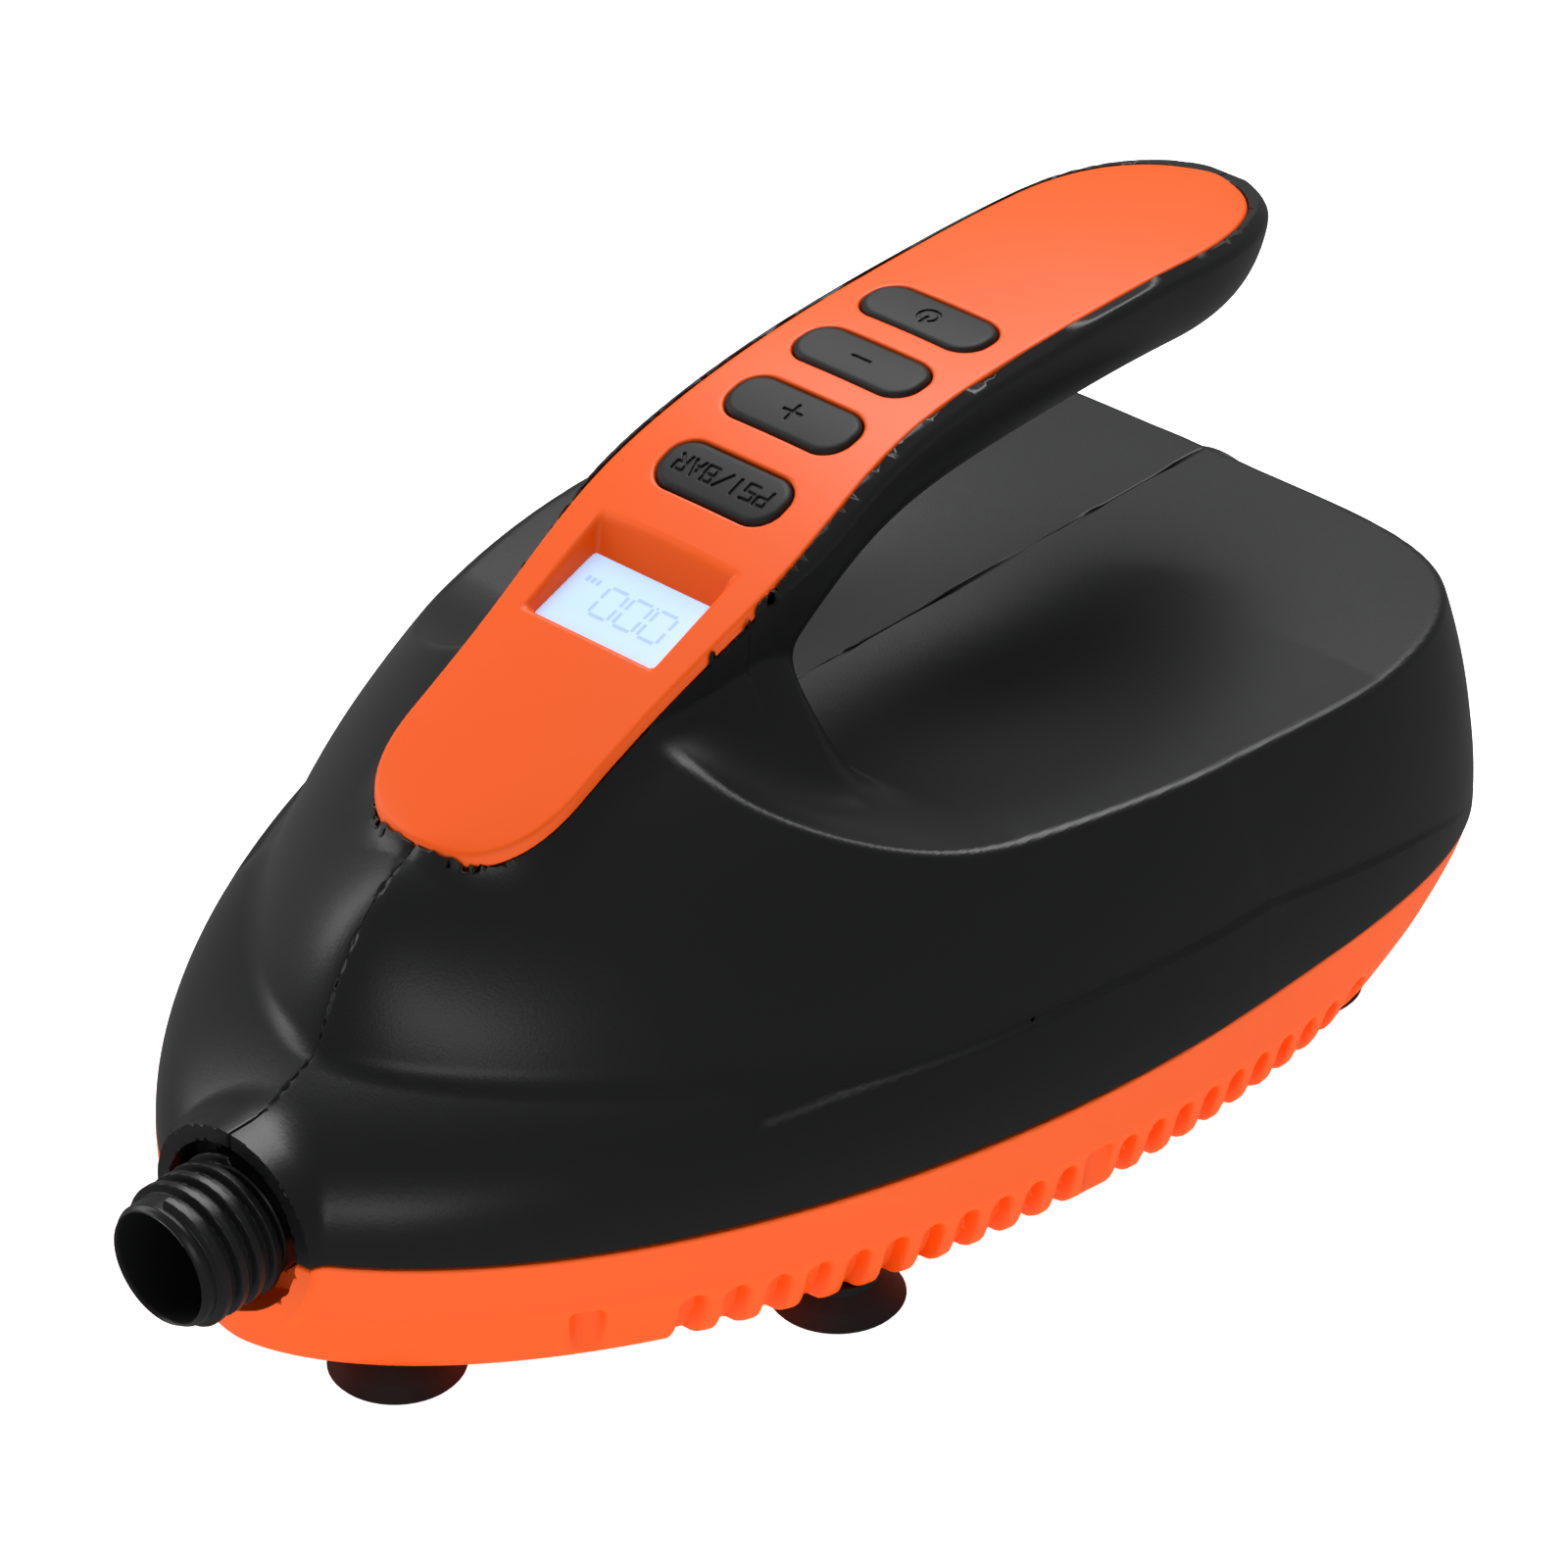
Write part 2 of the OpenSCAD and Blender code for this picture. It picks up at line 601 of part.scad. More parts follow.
module button_power() { button_cap(3); }

// Hose nozzle: true bore, plain tube, ring crests, inner flange and tail
nozzle_tail = -92;
lip_len = 1.6;
crest_y0 = nozzle_mouth + 4.4;
crest_half = 1.15;
module nozzle() {
    color(black_plastic) place() difference() {
        union() {
            rod_y(tube_r, nozzle_mouth + lip_len, nozzle_tail, 0, nozzle_z, round_fn);
            translate([0, nozzle_mouth + lip_len, nozzle_z]) rotate([90, 0, 0])
                cylinder(h = lip_len, r1 = tube_r, r2 = tube_r - 0.8, $fn = round_fn);
            rod_y(nozzle_flange_r, nozzle_flange_y0 + slip, saddle_y0 - slip, 0, nozzle_z, round_fn);
            for (i = [0:thread_turns - 1]) translate([0, crest_y0 + i * thread_pitch, nozzle_z])
                rotate([90, 0, 0]) rotate_extrude($fn = round_fn) polygon([[tube_r - 0.5, -crest_half],
                    [tube_r, -crest_half], [thread_r, -crest_half / 2], [thread_r, crest_half / 2],
                    [tube_r, crest_half], [tube_r - 0.5, crest_half]]);
        }
        rod_y(bore_r, nozzle_mouth - 1, nozzle_tail + 1, 0, nozzle_z, round_fn);
    }
}
module nozzle_seal() {
    color(rubber_black) place() translate([0, nozzle_flange_y0 - 0.9, nozzle_z]) rotate([90, 0, 0])
        rotate_extrude($fn = round_fn) translate([tube_r + 1.25, 0]) circle(r = 0.95, $fn = small_fn);
}

// Suction feet: a shallow cup with a stem pushed through the tray
stem_foot_r = 3;
module suction_feet() {
    color(rubber_black) place() for (s = [-1, 1]) for (f = feet_xy) translate([s * f[0], f[1], 0])
        rotate_extrude($fn = round_fn) polygon([[0, 2.2], [foot_r - 4, 1.6], [foot_r - 2, 0], [foot_r - 0.4, 0], [foot_r, 0.5],
            [foot_r - 2.6, 2.8], [8, foot_h - 2.2], [8, foot_h - slip], [stem_foot_r, foot_h - slip],
            [stem_foot_r, floor_z + 0.1], [stem_foot_r + 0.9, floor_z + 0.4], [stem_foot_r - 0.4, floor_z + 3],
            [0, floor_z + 3]]);
}
module base_screws() {
    color(steel) place() for (s = [-1, 1]) for (y = boss_y) {
        rod_z(head_r, base_z + 12 - head_h - 0.1, base_z + 12 - 0.1, s * boss_x(y), y, small_fn);
        rod_z(screw_r, base_z + 11, boss_top - 3, s * boss_x(y), y, small_fn);
    }
}

// Rear port with its nut and screen, and the power inlet
port_y1 = wall_y + 7;
port_y0 = wall_y - 11;
port_seat = rear_tip + 0.2;
module rear_port() {
    color(black_plastic) place() difference() {
        union() {
            rod_y(port_tube_r, port_y0, port_y1, port_x, port_z, round_fn);
            rod_y(port_flange_r, port_seat, port_seat + 2, port_x, port_z, round_fn);
        }
        rod_y(port_r, port_y0 - 1, port_y1 + 1, port_x, port_z, round_fn);
    }
}
module port_nut() {
    color(black_plastic) place() difference() {
        rod_y(port_flange_r, wall_y - 7, wall_y - 3 - slip, port_x, port_z, 6 * 8);
        rod_y(port_tube_r + 0.1, wall_y - 8, wall_y, port_x, port_z, round_fn);
    }
}
module port_screen() {
    color(grey_plastic) place() difference() {
        rod_y(port_tube_r + 1.6, port_y0 - 3.5, port_y0 + 3, port_x, port_z, round_fn);
        rod_y(port_tube_r + 0.1, port_y0 - 2, port_y0 + 4, port_x, port_z, round_fn);
        for (i = [-2:2]) for (j = [-2:2]) if (i * i + j * j < 7)
            rod_y(1.4, port_y0 - 5, port_y0 + 3, port_x + i * 3.6, port_z + j * 3.6, 16);
    }
}
inlet_seat = wall_y + 0.9;
inlet_pin_r = 1;
module power_inlet() {
    color(black_plastic) place() {
        difference() {
            union() {
                rod_y(inlet_r, inlet_seat - 14, inlet_seat + 1, inlet_x, inlet_z, round_fn);
                rod_y(inlet_r + 2.2, inlet_seat, inlet_seat + 1.6, inlet_x, inlet_z, round_fn);
            }
            rod_y(inlet_r - 2.4, inlet_seat - 9, inlet_seat + 3, inlet_x, inlet_z, round_fn);
        }
        rod_y(inlet_pin_r, inlet_seat - 10, inlet_seat - 1, inlet_x, inlet_z, small_fn);
    }
}
module inlet_nut() {
    color(steel) place() difference() {
        rod_y(inlet_r + 2.2, inlet_seat - 7.4, inlet_seat - 4.9, inlet_x, inlet_z, 6 * 8);
        rod_y(inlet_r + 0.1, inlet_seat - 8, inlet_seat, inlet_x, inlet_z, round_fn);
    }
}

// Blower: cup and cover with the impeller between them, motor on top
blow_y = -12;
cup_r = impeller_r + 8;
cup_wall = 2;
cup_z0 = floor_z + 2.8;
cup_h = 20;
cup_z1 = cup_z0 + cup_h;
ear_r = 4;
ear_ring = cup_r + 3;
ear_angles = [180, 50, 250];
ear_post_z = cup_z0 - slip;
exit_x0 = 14;
exit_x1 = 38;
exit_y = -58;
cover_t = 2.5;
eye_r = 26;
hub_plate_r = blower_can_r + 1;
shaft_r = 2.5;
module ear_points() {
    for (a = ear_angles) translate([ear_ring * cos(a), blow_y + ear_ring * sin(a), 0]) children();
}
module volute_cup() {
    color(grey_plastic) place() difference() {
        union() {
            rod_z(cup_r, cup_z0, cup_z1, 0, blow_y, 2 * round_fn);
            translate([exit_x0 - cup_wall, exit_y, cup_z0])
                cube([exit_x1 - exit_x0 + 2 * cup_wall, blow_y - exit_y, cup_h]);
            ear_points() cylinder(h = cup_z0 + 3, r = ear_r, $fn = small_fn);
        }
        rod_z(cup_r - cup_wall, cup_z0 + cup_wall, cup_z1 + 1, 0, blow_y, 2 * round_fn);
        translate([exit_x0, exit_y - 1, cup_z0 + cup_wall])
            cube([exit_x1 - exit_x0, blow_y - exit_y - 6, cup_h - 2 * cup_wall]);
        translate([-100, -150, cup_z0 - 30]) cube([200, 250, 30]);
        ear_points() cylinder(h = 60, r = screw_r + 0.2, $fn = small_fn);
    }
}
module volute_cover() {
    color(grey_plastic) place() union() {
        difference() {
            rod_z(cup_r, cup_z1 + 0.05, cup_z1 + cover_t, 0, blow_y, 2 * round_fn);
            rod_z(eye_r, cup_z1 - 1, cup_z1 + cover_t + 1, 0, blow_y, round_fn);
        }
        difference() {
            union() {
                rod_z(hub_plate_r, cup_z1 + 0.05, cup_z1 + cover_t, 0, blow_y, round_fn);
                for (a = [90, 210, 330]) translate([0, blow_y, cup_z1 + 0.05]) rotate([0, 0, a])
                    translate([hub_plate_r - 2, -3, 0]) cube([eye_r - hub_plate_r + 4, 6, cover_t - 0.05]);
            }
            rod_z(shaft_r + 1, cup_z1 - 1, cup_z1 + cover_t + 1, 0, blow_y, small_fn);
        }
    }
}
module blower_screws() {
    color(steel) place() ear_points() {
        rod_z(screw_r, floor_z + 0.3, cup_z0 + 4, 0, 0, small_fn);
        rod_z(head_r, cup_z0 + 3.1, cup_z0 + 3.1 + head_h, 0, 0, small_fn);
    }
}
can_z0 = cup_z1 + cover_t + 0.05;
can_h = 36;
module blower_motor() {
    color(steel) place() difference() {
        union() {
            rod_z(blower_can_r, can_z0, can_z0 + can_h, 0, blow_y, round_fn);
            rod_z(6, can_z0 + can_h - 1, can_z0 + can_h + 3, 0, blow_y, round_fn);
        }
        rod_z(shaft_r + run_gap, can_z0 - 1, can_z0 + 22, 0, blow_y, round_fn);
    }
}
imp_z0 = cup_z0 + cup_wall + 1;
imp_h = 12.5;
module blower_shaft() {
    color(steel) place() rod_z(shaft_r, imp_z0 + 0.2, can_z0 + 20, 0, blow_y, round_fn);
}
module impeller() {
    color(white_plastic) place() difference() {
        union() {
            rod_z(impeller_r, imp_z0, imp_z0 + 1.8, 0, blow_y, 2 * round_fn);
            rod_z(7, imp_z0, imp_z0 + imp_h, 0, blow_y, round_fn);
            for (i = [0:blade_count - 1]) translate([0, blow_y, imp_z0]) rotate([0, 0, 360 * i / blade_count])
                translate([5, -0.8, 0]) rotate([0, 0, 14]) cube([impeller_r - 7, 1.6, imp_h]);
        }
        rod_z(shaft_r + press_gap, imp_z0 - 1, imp_z0 + imp_h + 1, 0, blow_y, round_fn);
    }
}

// Duct from the blower to the nozzle with the check valve
duct_r = tube_r + slip + 2;
duct_in = tube_r + slip;
duct_y0 = -100;
duct_y1 = -76;
nip_y = -80;
nip_r = 2.4;
nip_x = 5;
nip_z = nozzle_z + duct_r + 6;
module duct_shape(g) {
    hull() {
        rod_y(duct_r - g, duct_y1 - 2 - g, duct_y1, 0, nozzle_z, 32);
        translate([exit_x0 - cup_wall + g, exit_y - 3, cup_z0 + g])
            cube([exit_x1 - exit_x0 + 2 * cup_wall - 2 * g, 3 - slip + g, cup_h - 2 * g]);
    }
}
module air_manifold() {
    color(grey_plastic) place() difference() {
        union() {
            rod_y(duct_r, duct_y0, duct_y1, 0, nozzle_z, round_fn);
            duct_shape(0);
            for (s = [-1, 1]) rod_z(nip_r, nozzle_z + duct_in, nip_z, s * nip_x, nip_y, small_fn);
        }
        rod_y(duct_in, duct_y0 - 1, duct_y1 - 1, 0, nozzle_z, round_fn);
        duct_shape(2);
        for (s = [-1, 1]) rod_z(nip_r - 1.1, nozzle_z, nip_z + 1, s * nip_x, nip_y, small_fn);
    }
}
seat_y = -88;
module valve_seat() {
    color(grey_plastic) place() difference() {
        rod_y(duct_in - 0.1, seat_y, seat_y + 2, 0, nozzle_z, round_fn);
        rod_y(8, seat_y - 1, seat_y + 3, 0, nozzle_z, round_fn);
    }
}
module valve_flap() {
    color(rubber_black) place() rod_y(9.6, seat_y - 1.5, seat_y - slip, 0, nozzle_z, round_fn);
}

// Compressor: frame, motor, gear pair, rod, cylinder and head
gear_x = 8;
gear_z = 42;
gear_y0 = 52;
gear_w = 6;
mesh_a = gear_module * (pinion_teeth + gear_teeth) / 2;
motor_x = gear_x - mesh_a;
plate_y0 = 62;
plate_t = 4;
plate_y1 = plate_y0 + plate_t;
frame_x0 = -44;
frame_x1 = 57;
frame_z0 = floor_z + 5.5;
frame_top = gear_z + 26;
frame_y1 = 124;
post_xy = [[-36, 74], [-36, 116], [22, 74], [22, 116]];
comp_len = 54;
motor_shaft_r = 2;
axle_r = 4;
cyl_y = 47.5;
cyl_x0 = 35;
cyl_x1 = 62;
cyl_wall = 3;
head_t = 8;
reed_t = 1;
flange_r = cyl_r + 7;
head_bolt_ring = cyl_r + 4.6;
module comp_frame() {
    color(alloy) place() difference() {
        union() {
            translate([frame_x0, plate_y0, frame_z0]) cube([frame_x1 - frame_x0, plate_t, frame_top - frame_z0]);
            translate([frame_x0, plate_y0, frame_z0]) cube([frame_x1 - frame_x0 - 28, frame_y1 - plate_y0, 3]);
        }
        rod_y(6, plate_y0 - 1, plate_y1 + 1, motor_x, gear_z, round_fn);
        rod_y(axle_r + press_gap, plate_y0 - 1, plate_y1 + 1, gear_x, gear_z, round_fn);
        for (s = [-1, 1]) rod_y(screw_r + 0.2, plate_y0 - 1, plate_y1 + 1, motor_x, gear_z + s * 11, small_fn);
        for (p = post_xy) rod_z(screw_r + 0.2, frame_z0 - 1, frame_z0 + 4, p[0], p[1], small_fn);
    }
}
module frame_screws() {
    color(steel) place() for (p = post_xy) {
        rod_z(screw_r, floor_z + 0.3, frame_z0 + 4, p[0], p[1], small_fn);
        rod_z(head_r, frame_z0 + 3.1, frame_z0 + 3.1 + head_h, p[0], p[1], small_fn);
    }
}
module comp_motor() {
    color(steel) place() difference() {
        union() {
            rod_y(comp_can_r, plate_y1 + 0.05, plate_y1 + comp_len, motor_x, gear_z, round_fn);
            rod_y(5.6, plate_y0 + 1, plate_y1 + 1, motor_x, gear_z, round_fn);
        }
        rod_y(motor_shaft_r + run_gap, plate_y0, plate_y1 + 26, motor_x, gear_z, round_fn);
        for (s = [-1, 1]) rod_y(screw_r + press_gap, plate_y1 - 1, plate_y1 + 6, motor_x, gear_z + s * 11, small_fn);
    }
}
module motor_screws() {
    color(steel) place() for (s = [-1, 1]) {
        rod_y(screw_r, plate_y0 - 1, plate_y1 + 5, motor_x, gear_z + s * 11, small_fn);
        rod_y(2.6, plate_y0 - 1.8, plate_y0 - 0.05, motor_x, gear_z + s * 11, small_fn);
    }
}
module motor_shaft() {
    color(steel) place() rod_y(motor_shaft_r, gear_y0 - 0.5, plate_y1 + 24, motor_x, gear_z, round_fn);
}
addendum = 0.8;
dedendum = 1.15;
tooth_pitch_half = 0.66;
tooth_tip_half = 0.36;
tooth_root_half = 0.92;
module gear_outline(n, off) {
    rp = gear_module * n / 2;
    ra = rp + addendum * gear_module;
    rd = rp - dedendum * gear_module;
    polygon([for (i = [0:n - 1]) let (c = 360 * i / n + off) each [
        for (q = [[rd, -tooth_root_half], [rp, -tooth_pitch_half], [ra, -tooth_tip_half],
            [ra, tooth_tip_half], [rp, tooth_pitch_half], [rd, tooth_root_half]])
            let (a = c + q[1] * gear_module / q[0] * 180 / PI) [q[0] * cos(a), q[0] * sin(a)]]]);
}
module pinion() {
    color(brass_tone) place() translate([motor_x, gear_y0 + gear_w, gear_z]) rotate([90, 0, 0]) difference() {
        linear_extrude(height = gear_w) gear_outline(pinion_teeth, 180 / pinion_teeth);
        translate([0, 0, -1]) cylinder(h = gear_w + 2, r = motor_shaft_r + press_gap, $fn = round_fn);
    }
}
gear_turn = gear_teeth % 2 == 0 ? 0 : 180 / gear_teeth;
crank_pin_r = 2.5;
pin_len = 1.4;
module crank_gear() {
    color(white_plastic) place() translate([gear_x, gear_y0 + gear_w, gear_z]) rotate([90, 0, 0]) difference() {
        union() {
            linear_extrude(height = gear_w) gear_outline(gear_teeth, gear_turn);
            translate([0, 0, -3.5]) cylinder(h = 4, r = axle_r + 3, $fn = round_fn);
            translate([0, crank_throw, gear_w - 0.5]) cylinder(h = pin_len + 0.5, r = crank_pin_r, $fn = small_fn);
        }
        translate([0, 0, -5]) cylinder(h = gear_w + 12, r = axle_r + run_gap, $fn = round_fn);
        for (i = [0:5]) rotate([0, 0, 60 * i + 30]) translate([15, 0, -1])
            cylinder(h = gear_w + 2, r = 3.6, $fn = small_fn);
    }
}
axle_head_r = axle_r + 0.35;
module gear_axle() {
    color(steel) place() rod_y(axle_r, gear_y0 - 0.6, plate_y1 + 1, gear_x, gear_z, round_fn);
}
rod_t = 4;
rod_y0 = gear_y0 - pin_len - 0.5 - rod_t;
piston_x0 = 44;
piston_len = 9;
groove = 0.8;
module piston_rod() {
    color(alloy) place() difference() {
        union() {
            translate([0, rod_y0, 0]) {
                rod_y(6.5, 0, rod_t, gear_x, gear_z, round_fn);
                translate([gear_x, 0, gear_z - 3]) cube([piston_x0 - gear_x + 1, rod_t, 6]);
            }
            difference() {
                rod_x(cyl_r - run_gap, piston_x0, piston_x0 + piston_len, cyl_y, gear_z, 2 * round_fn);
                difference() {
                    rod_x(cyl_r + 1, piston_x0 + 3, piston_x0 + 6, cyl_y, gear_z, round_fn);
                    rod_x(cyl_r - 1.6, piston_x0 + 2, piston_x0 + 7, cyl_y, gear_z, round_fn);
                }
            }
        }
        translate([0, rod_y0 - 1, 0]) rod_y(crank_pin_r + 0.3, 0, rod_t + 2, gear_x, gear_z, small_fn);
    }
}
module piston_seal() {
    color(rubber_black) place() difference() {
        rod_x(cyl_r - 0.02, piston_x0 + 3.1, piston_x0 + 5.9, cyl_y, gear_z, 2 * round_fn);
        rod_x(cyl_r - 1.5, piston_x0 + 2, piston_x0 + 7, cyl_y, gear_z, round_fn);
    }
}
module bolt_ring(x0, x1, r) {
    for (a = [45, 135, 225, 315])
        rod_x(r, x0, x1, cyl_y + head_bolt_ring * cos(a), gear_z + head_bolt_ring * sin(a), small_fn);
}
module pump_cylinder() {
    color(alloy) place() difference() {
        union() {
            rod_x(cyl_r + cyl_wall, cyl_x0, cyl_x1, cyl_y, gear_z, round_fn);
            rod_x(flange_r, cyl_x1 - 4, cyl_x1, cyl_y, gear_z, round_fn);
            for (i = [0:3]) rod_x(cyl_r + cyl_wall + 0.2, cyl_x0 + 2 + 4.4 * i, cyl_x0 + 4 + 4.4 * i, cyl_y, gear_z, round_fn);
        }
        rod_x(cyl_r, cyl_x0 - 1, cyl_x1 + 1, cyl_y, gear_z, 2 * round_fn);
        bolt_ring(cyl_x1 - 6, cyl_x1 + 1, screw_r + 0.1);
    }
}
module reed_plate() {
    color(steel) place() difference() {
        rod_x(flange_r, cyl_x1 + 0.05, cyl_x1 + reed_t, cyl_y, gear_z, round_fn);
        for (s = [-1, 1]) rod_x(2, cyl_x1 - 1, cyl_x1 + reed_t + 1, cyl_y, gear_z + s * 5, small_fn);
        bolt_ring(cyl_x1 - 1, cyl_x1 + 3, screw_r + 0.1);
    }
}
head_x0 = cyl_x1 + reed_t + 0.05;
head_x1 = head_x0 + head_t;
head_nip_x = head_x0 + 4;
head_nip_y = cyl_y - flange_r - 9;
module cylinder_head() {
    color(alloy) place() difference() {
        union() {
            rod_x(flange_r, head_x0, head_x1, cyl_y, gear_z, round_fn);
            rod_y(nip_r, head_nip_y, cyl_y - flange_r + 3, head_nip_x, gear_z, small_fn);
        }
        rod_x(cyl_r - 2, head_x0 - 1, head_x0 + 5, cyl_y, gear_z, round_fn);
        rod_y(nip_r - 1.1, head_nip_y - 1, cyl_y - cyl_r + 3, head_nip_x, gear_z, small_fn);
        bolt_ring(head_x0 - 1, head_x1 + 1, screw_r + 0.1);
    }
}
module head_screws() {
    color(steel) place() {
        bolt_ring(cyl_x1 - 3.6, head_x1 + 0.5, screw_r);
        bolt_ring(head_x1 + 0.05, head_x1 + head_h, head_r);
    }
}

// Tubes and leads: chains of round links between named stations
module chain(path, r) {
    for (i = [0:len(path) - 2]) hull() {
        translate(path[i]) sphere(r = r, $fn = r > 2 ? 16 : 10);
        translate(path[i + 1]) sphere(r = r, $fn = r > 2 ? 16 : 10);
    }
}
hose_in = nip_r + 0.15;
hose_out = hose_in + 1.1;
module hose(path, d0, d1) {
    difference() {
        chain(path, hose_out);
        chain(concat([path[0] - d0], path, [path[len(path) - 1] + d1]), hose_in);
    }
}
module delivery_tube() {
    color(rubber_black) place() hose([[head_nip_x, head_nip_y + 3, gear_z], [head_nip_x, head_nip_y - 4, gear_z],
        [head_nip_x - 4, 0, gear_z + 8], [50, -36, 54], [20, -68, 62], [nip_x, nip_y, nip_z + 7],
        [nip_x, nip_y, nip_z - 1.8]], [0, -14, 0], [0, 0, -14]);
}

// Main board in the slots of two tray posts
mb_x = -62;
mb_t = 1.6;
mb_y0 = 20;
mb_y1 = 84;
mb_z0 = floor_z + 2.5;
mb_z1 = 56;
mb_face = mb_x + mb_t / 2;
slot_gap = 0.15;
slot_deep = 3;
sensor_z = 45;
sensor_y = 26;
sensor_x = mb_face + 4;
module main_board() {
    color(board_green) place() translate([mb_x - mb_t / 2, mb_y0, mb_z0])
        cube([mb_t, mb_y1 - mb_y0, mb_z1 - mb_z0]);
}
module board_parts() {
    color(rubber_black) place() {
        for (i = [0:1]) rod_x(5, mb_face + 0.02, mb_face + 12, 50 + 12 * i, 44, small_fn);
        translate([mb_face + 0.02, 60, 22]) cube([11, 15, 13]);
        translate([mb_face + 0.02, 28, 17]) cube([9, 16, 14]);
        translate([mb_face + 0.02, 48, 18]) cube([5, 8, 8]);
    }
}
module pressure_sensor() {
    color(grey_plastic) place() difference() {
        union() {
            translate([mb_face + 0.02, sensor_y, sensor_z - 5]) cube([7, 10, 10]);
            rod_y(nip_r, sensor_y - 9, sensor_y + 1, sensor_x, sensor_z, small_fn);
        }
        rod_y(nip_r - 1.1, sensor_y - 10, sensor_y + 2, sensor_x, sensor_z, small_fn);
    }
}
module sensor_tube() {
    color(rubber_black) place() hose([[sensor_x, sensor_y - 5, sensor_z], [sensor_x, sensor_y - 13, sensor_z],
        [-46, -36, 54], [-18, -68, 62], [-nip_x, nip_y, nip_z + 7], [-nip_x, nip_y, nip_z - 1.8]],
        [0, -14, 0], [0, 0, -14]);
}
lead_r = 1.5;
function board_to_world(ly, lz) = [0, board_mid_y + rot_y(ly, lz, board_tilt),
    board_mid_z() + rot_z(ly, lz, board_tilt)];
module inner_leads() {
    color(rubber_black) place() {
        chain([board_to_world(-board_len / 2 + 5, -board_t - lead_r - 0.2), [0, -14, 100], [-24, -26, 80],
            [-50, 4, 66], [-58, 26, 62], [mb_x, 34, mb_z1 + lead_r + 0.2]], lead_r);
        chain([[inlet_x, inlet_seat - 14 - lead_r - 0.2, inlet_z], [34, 136, 30], [-20, 136, 22], [-50, 124, 21], [-55, 100, 20],
            [-55, 84, 18], [mb_face + lead_r + 0.3, 77, 17]], lead_r);
        chain([[motor_x + 8, plate_y1 + comp_len + lead_r + 0.2, gear_z + 8], [-42, 126, 40], [-52, 104, 36],
            [-55, 84, 38], [mb_face + lead_r + 0.3, 77, 40]], lead_r);
        chain([[-9, blow_y, can_z0 + can_h + lead_r + 0.2], [-22, -6, 76], [-36, 0, 70], [-52, 34, 64],
            [mb_x, 48, mb_z1 + lead_r + 0.2]], lead_r);
    }
}

// Posts of the tray that carry the blower, the compressor and the main board
module tray_mounts() {
    difference() {
        ear_points() rod_z(ear_r, base_z + 1, ear_post_z, 0, 0, small_fn);
        ear_points() rod_z(screw_r + press_gap, floor_z, ear_post_z + 1, 0, 0, small_fn);
    }
    difference() {
        for (p = post_xy) rod_z(4, base_z + 1, frame_z0 - slip, p[0], p[1], small_fn);
        for (p = post_xy) rod_z(screw_r + press_gap, floor_z, frame_z0 + 1, p[0], p[1], small_fn);
    }
    difference() {
        for (y = [mb_y0 - 4, mb_y1 - slot_deep]) translate([mb_x - 3, y, base_z + 1])
            cube([6, 4 + slot_deep, 30]);
        translate([mb_x - mb_t / 2 - slot_gap, mb_y0 - slot_gap, mb_z0 - slip])
            cube([mb_t + 2 * slot_gap, mb_y1 - mb_y0 + 2 * slot_gap, 60]);
    }
}

right_shell();
left_shell();
base_tray();
handle_panel();
display_glass();
display_module();
display_board();
board_screws();
tact_switches();
button_power();
button_minus();
button_plus();
button_units();
nozzle();
nozzle_seal();
suction_feet();
base_screws();
rear_port();
port_nut();
port_screen();
power_inlet();
inlet_nut();
volute_cup();
volute_cover();
blower_screws();
blower_motor();
blower_shaft();
impeller();
air_manifold();
valve_seat();
valve_flap();
comp_frame();
frame_screws();
comp_motor();
motor_screws();
motor_shaft();
pinion();
crank_gear();
gear_axle();
piston_rod();
piston_seal();
pump_cylinder();
reed_plate();
cylinder_head();
head_screws();
delivery_tube();
main_board();
board_parts();
pressure_sensor();
sensor_tube();
inner_leads();
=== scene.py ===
import json
import math
import bpy
import bmesh
import numpy as np
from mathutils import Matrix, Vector


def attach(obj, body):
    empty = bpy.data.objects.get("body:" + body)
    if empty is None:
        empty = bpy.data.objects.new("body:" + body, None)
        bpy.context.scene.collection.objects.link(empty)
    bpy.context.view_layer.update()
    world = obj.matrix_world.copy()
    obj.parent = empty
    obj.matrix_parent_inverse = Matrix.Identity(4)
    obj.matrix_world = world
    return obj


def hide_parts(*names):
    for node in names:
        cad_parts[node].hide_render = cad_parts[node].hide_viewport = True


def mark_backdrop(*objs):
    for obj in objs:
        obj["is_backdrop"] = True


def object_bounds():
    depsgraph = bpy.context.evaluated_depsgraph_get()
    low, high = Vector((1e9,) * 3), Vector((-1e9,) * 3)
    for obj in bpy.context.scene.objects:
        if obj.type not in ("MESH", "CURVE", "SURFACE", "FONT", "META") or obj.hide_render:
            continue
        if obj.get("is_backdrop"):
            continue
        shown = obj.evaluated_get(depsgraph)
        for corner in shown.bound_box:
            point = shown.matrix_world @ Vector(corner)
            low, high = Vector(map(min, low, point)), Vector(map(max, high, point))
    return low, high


bl_info = {
    "name": "Board inflator looks",
    "version": (1, 0, 0),
    "blender": (4, 5, 0),
    "location": "View3D > Sidebar > Inflator",
    "description": "Builds the visible surfaces of an electric board inflator round its CAD frame",
    "category": "Object",
}

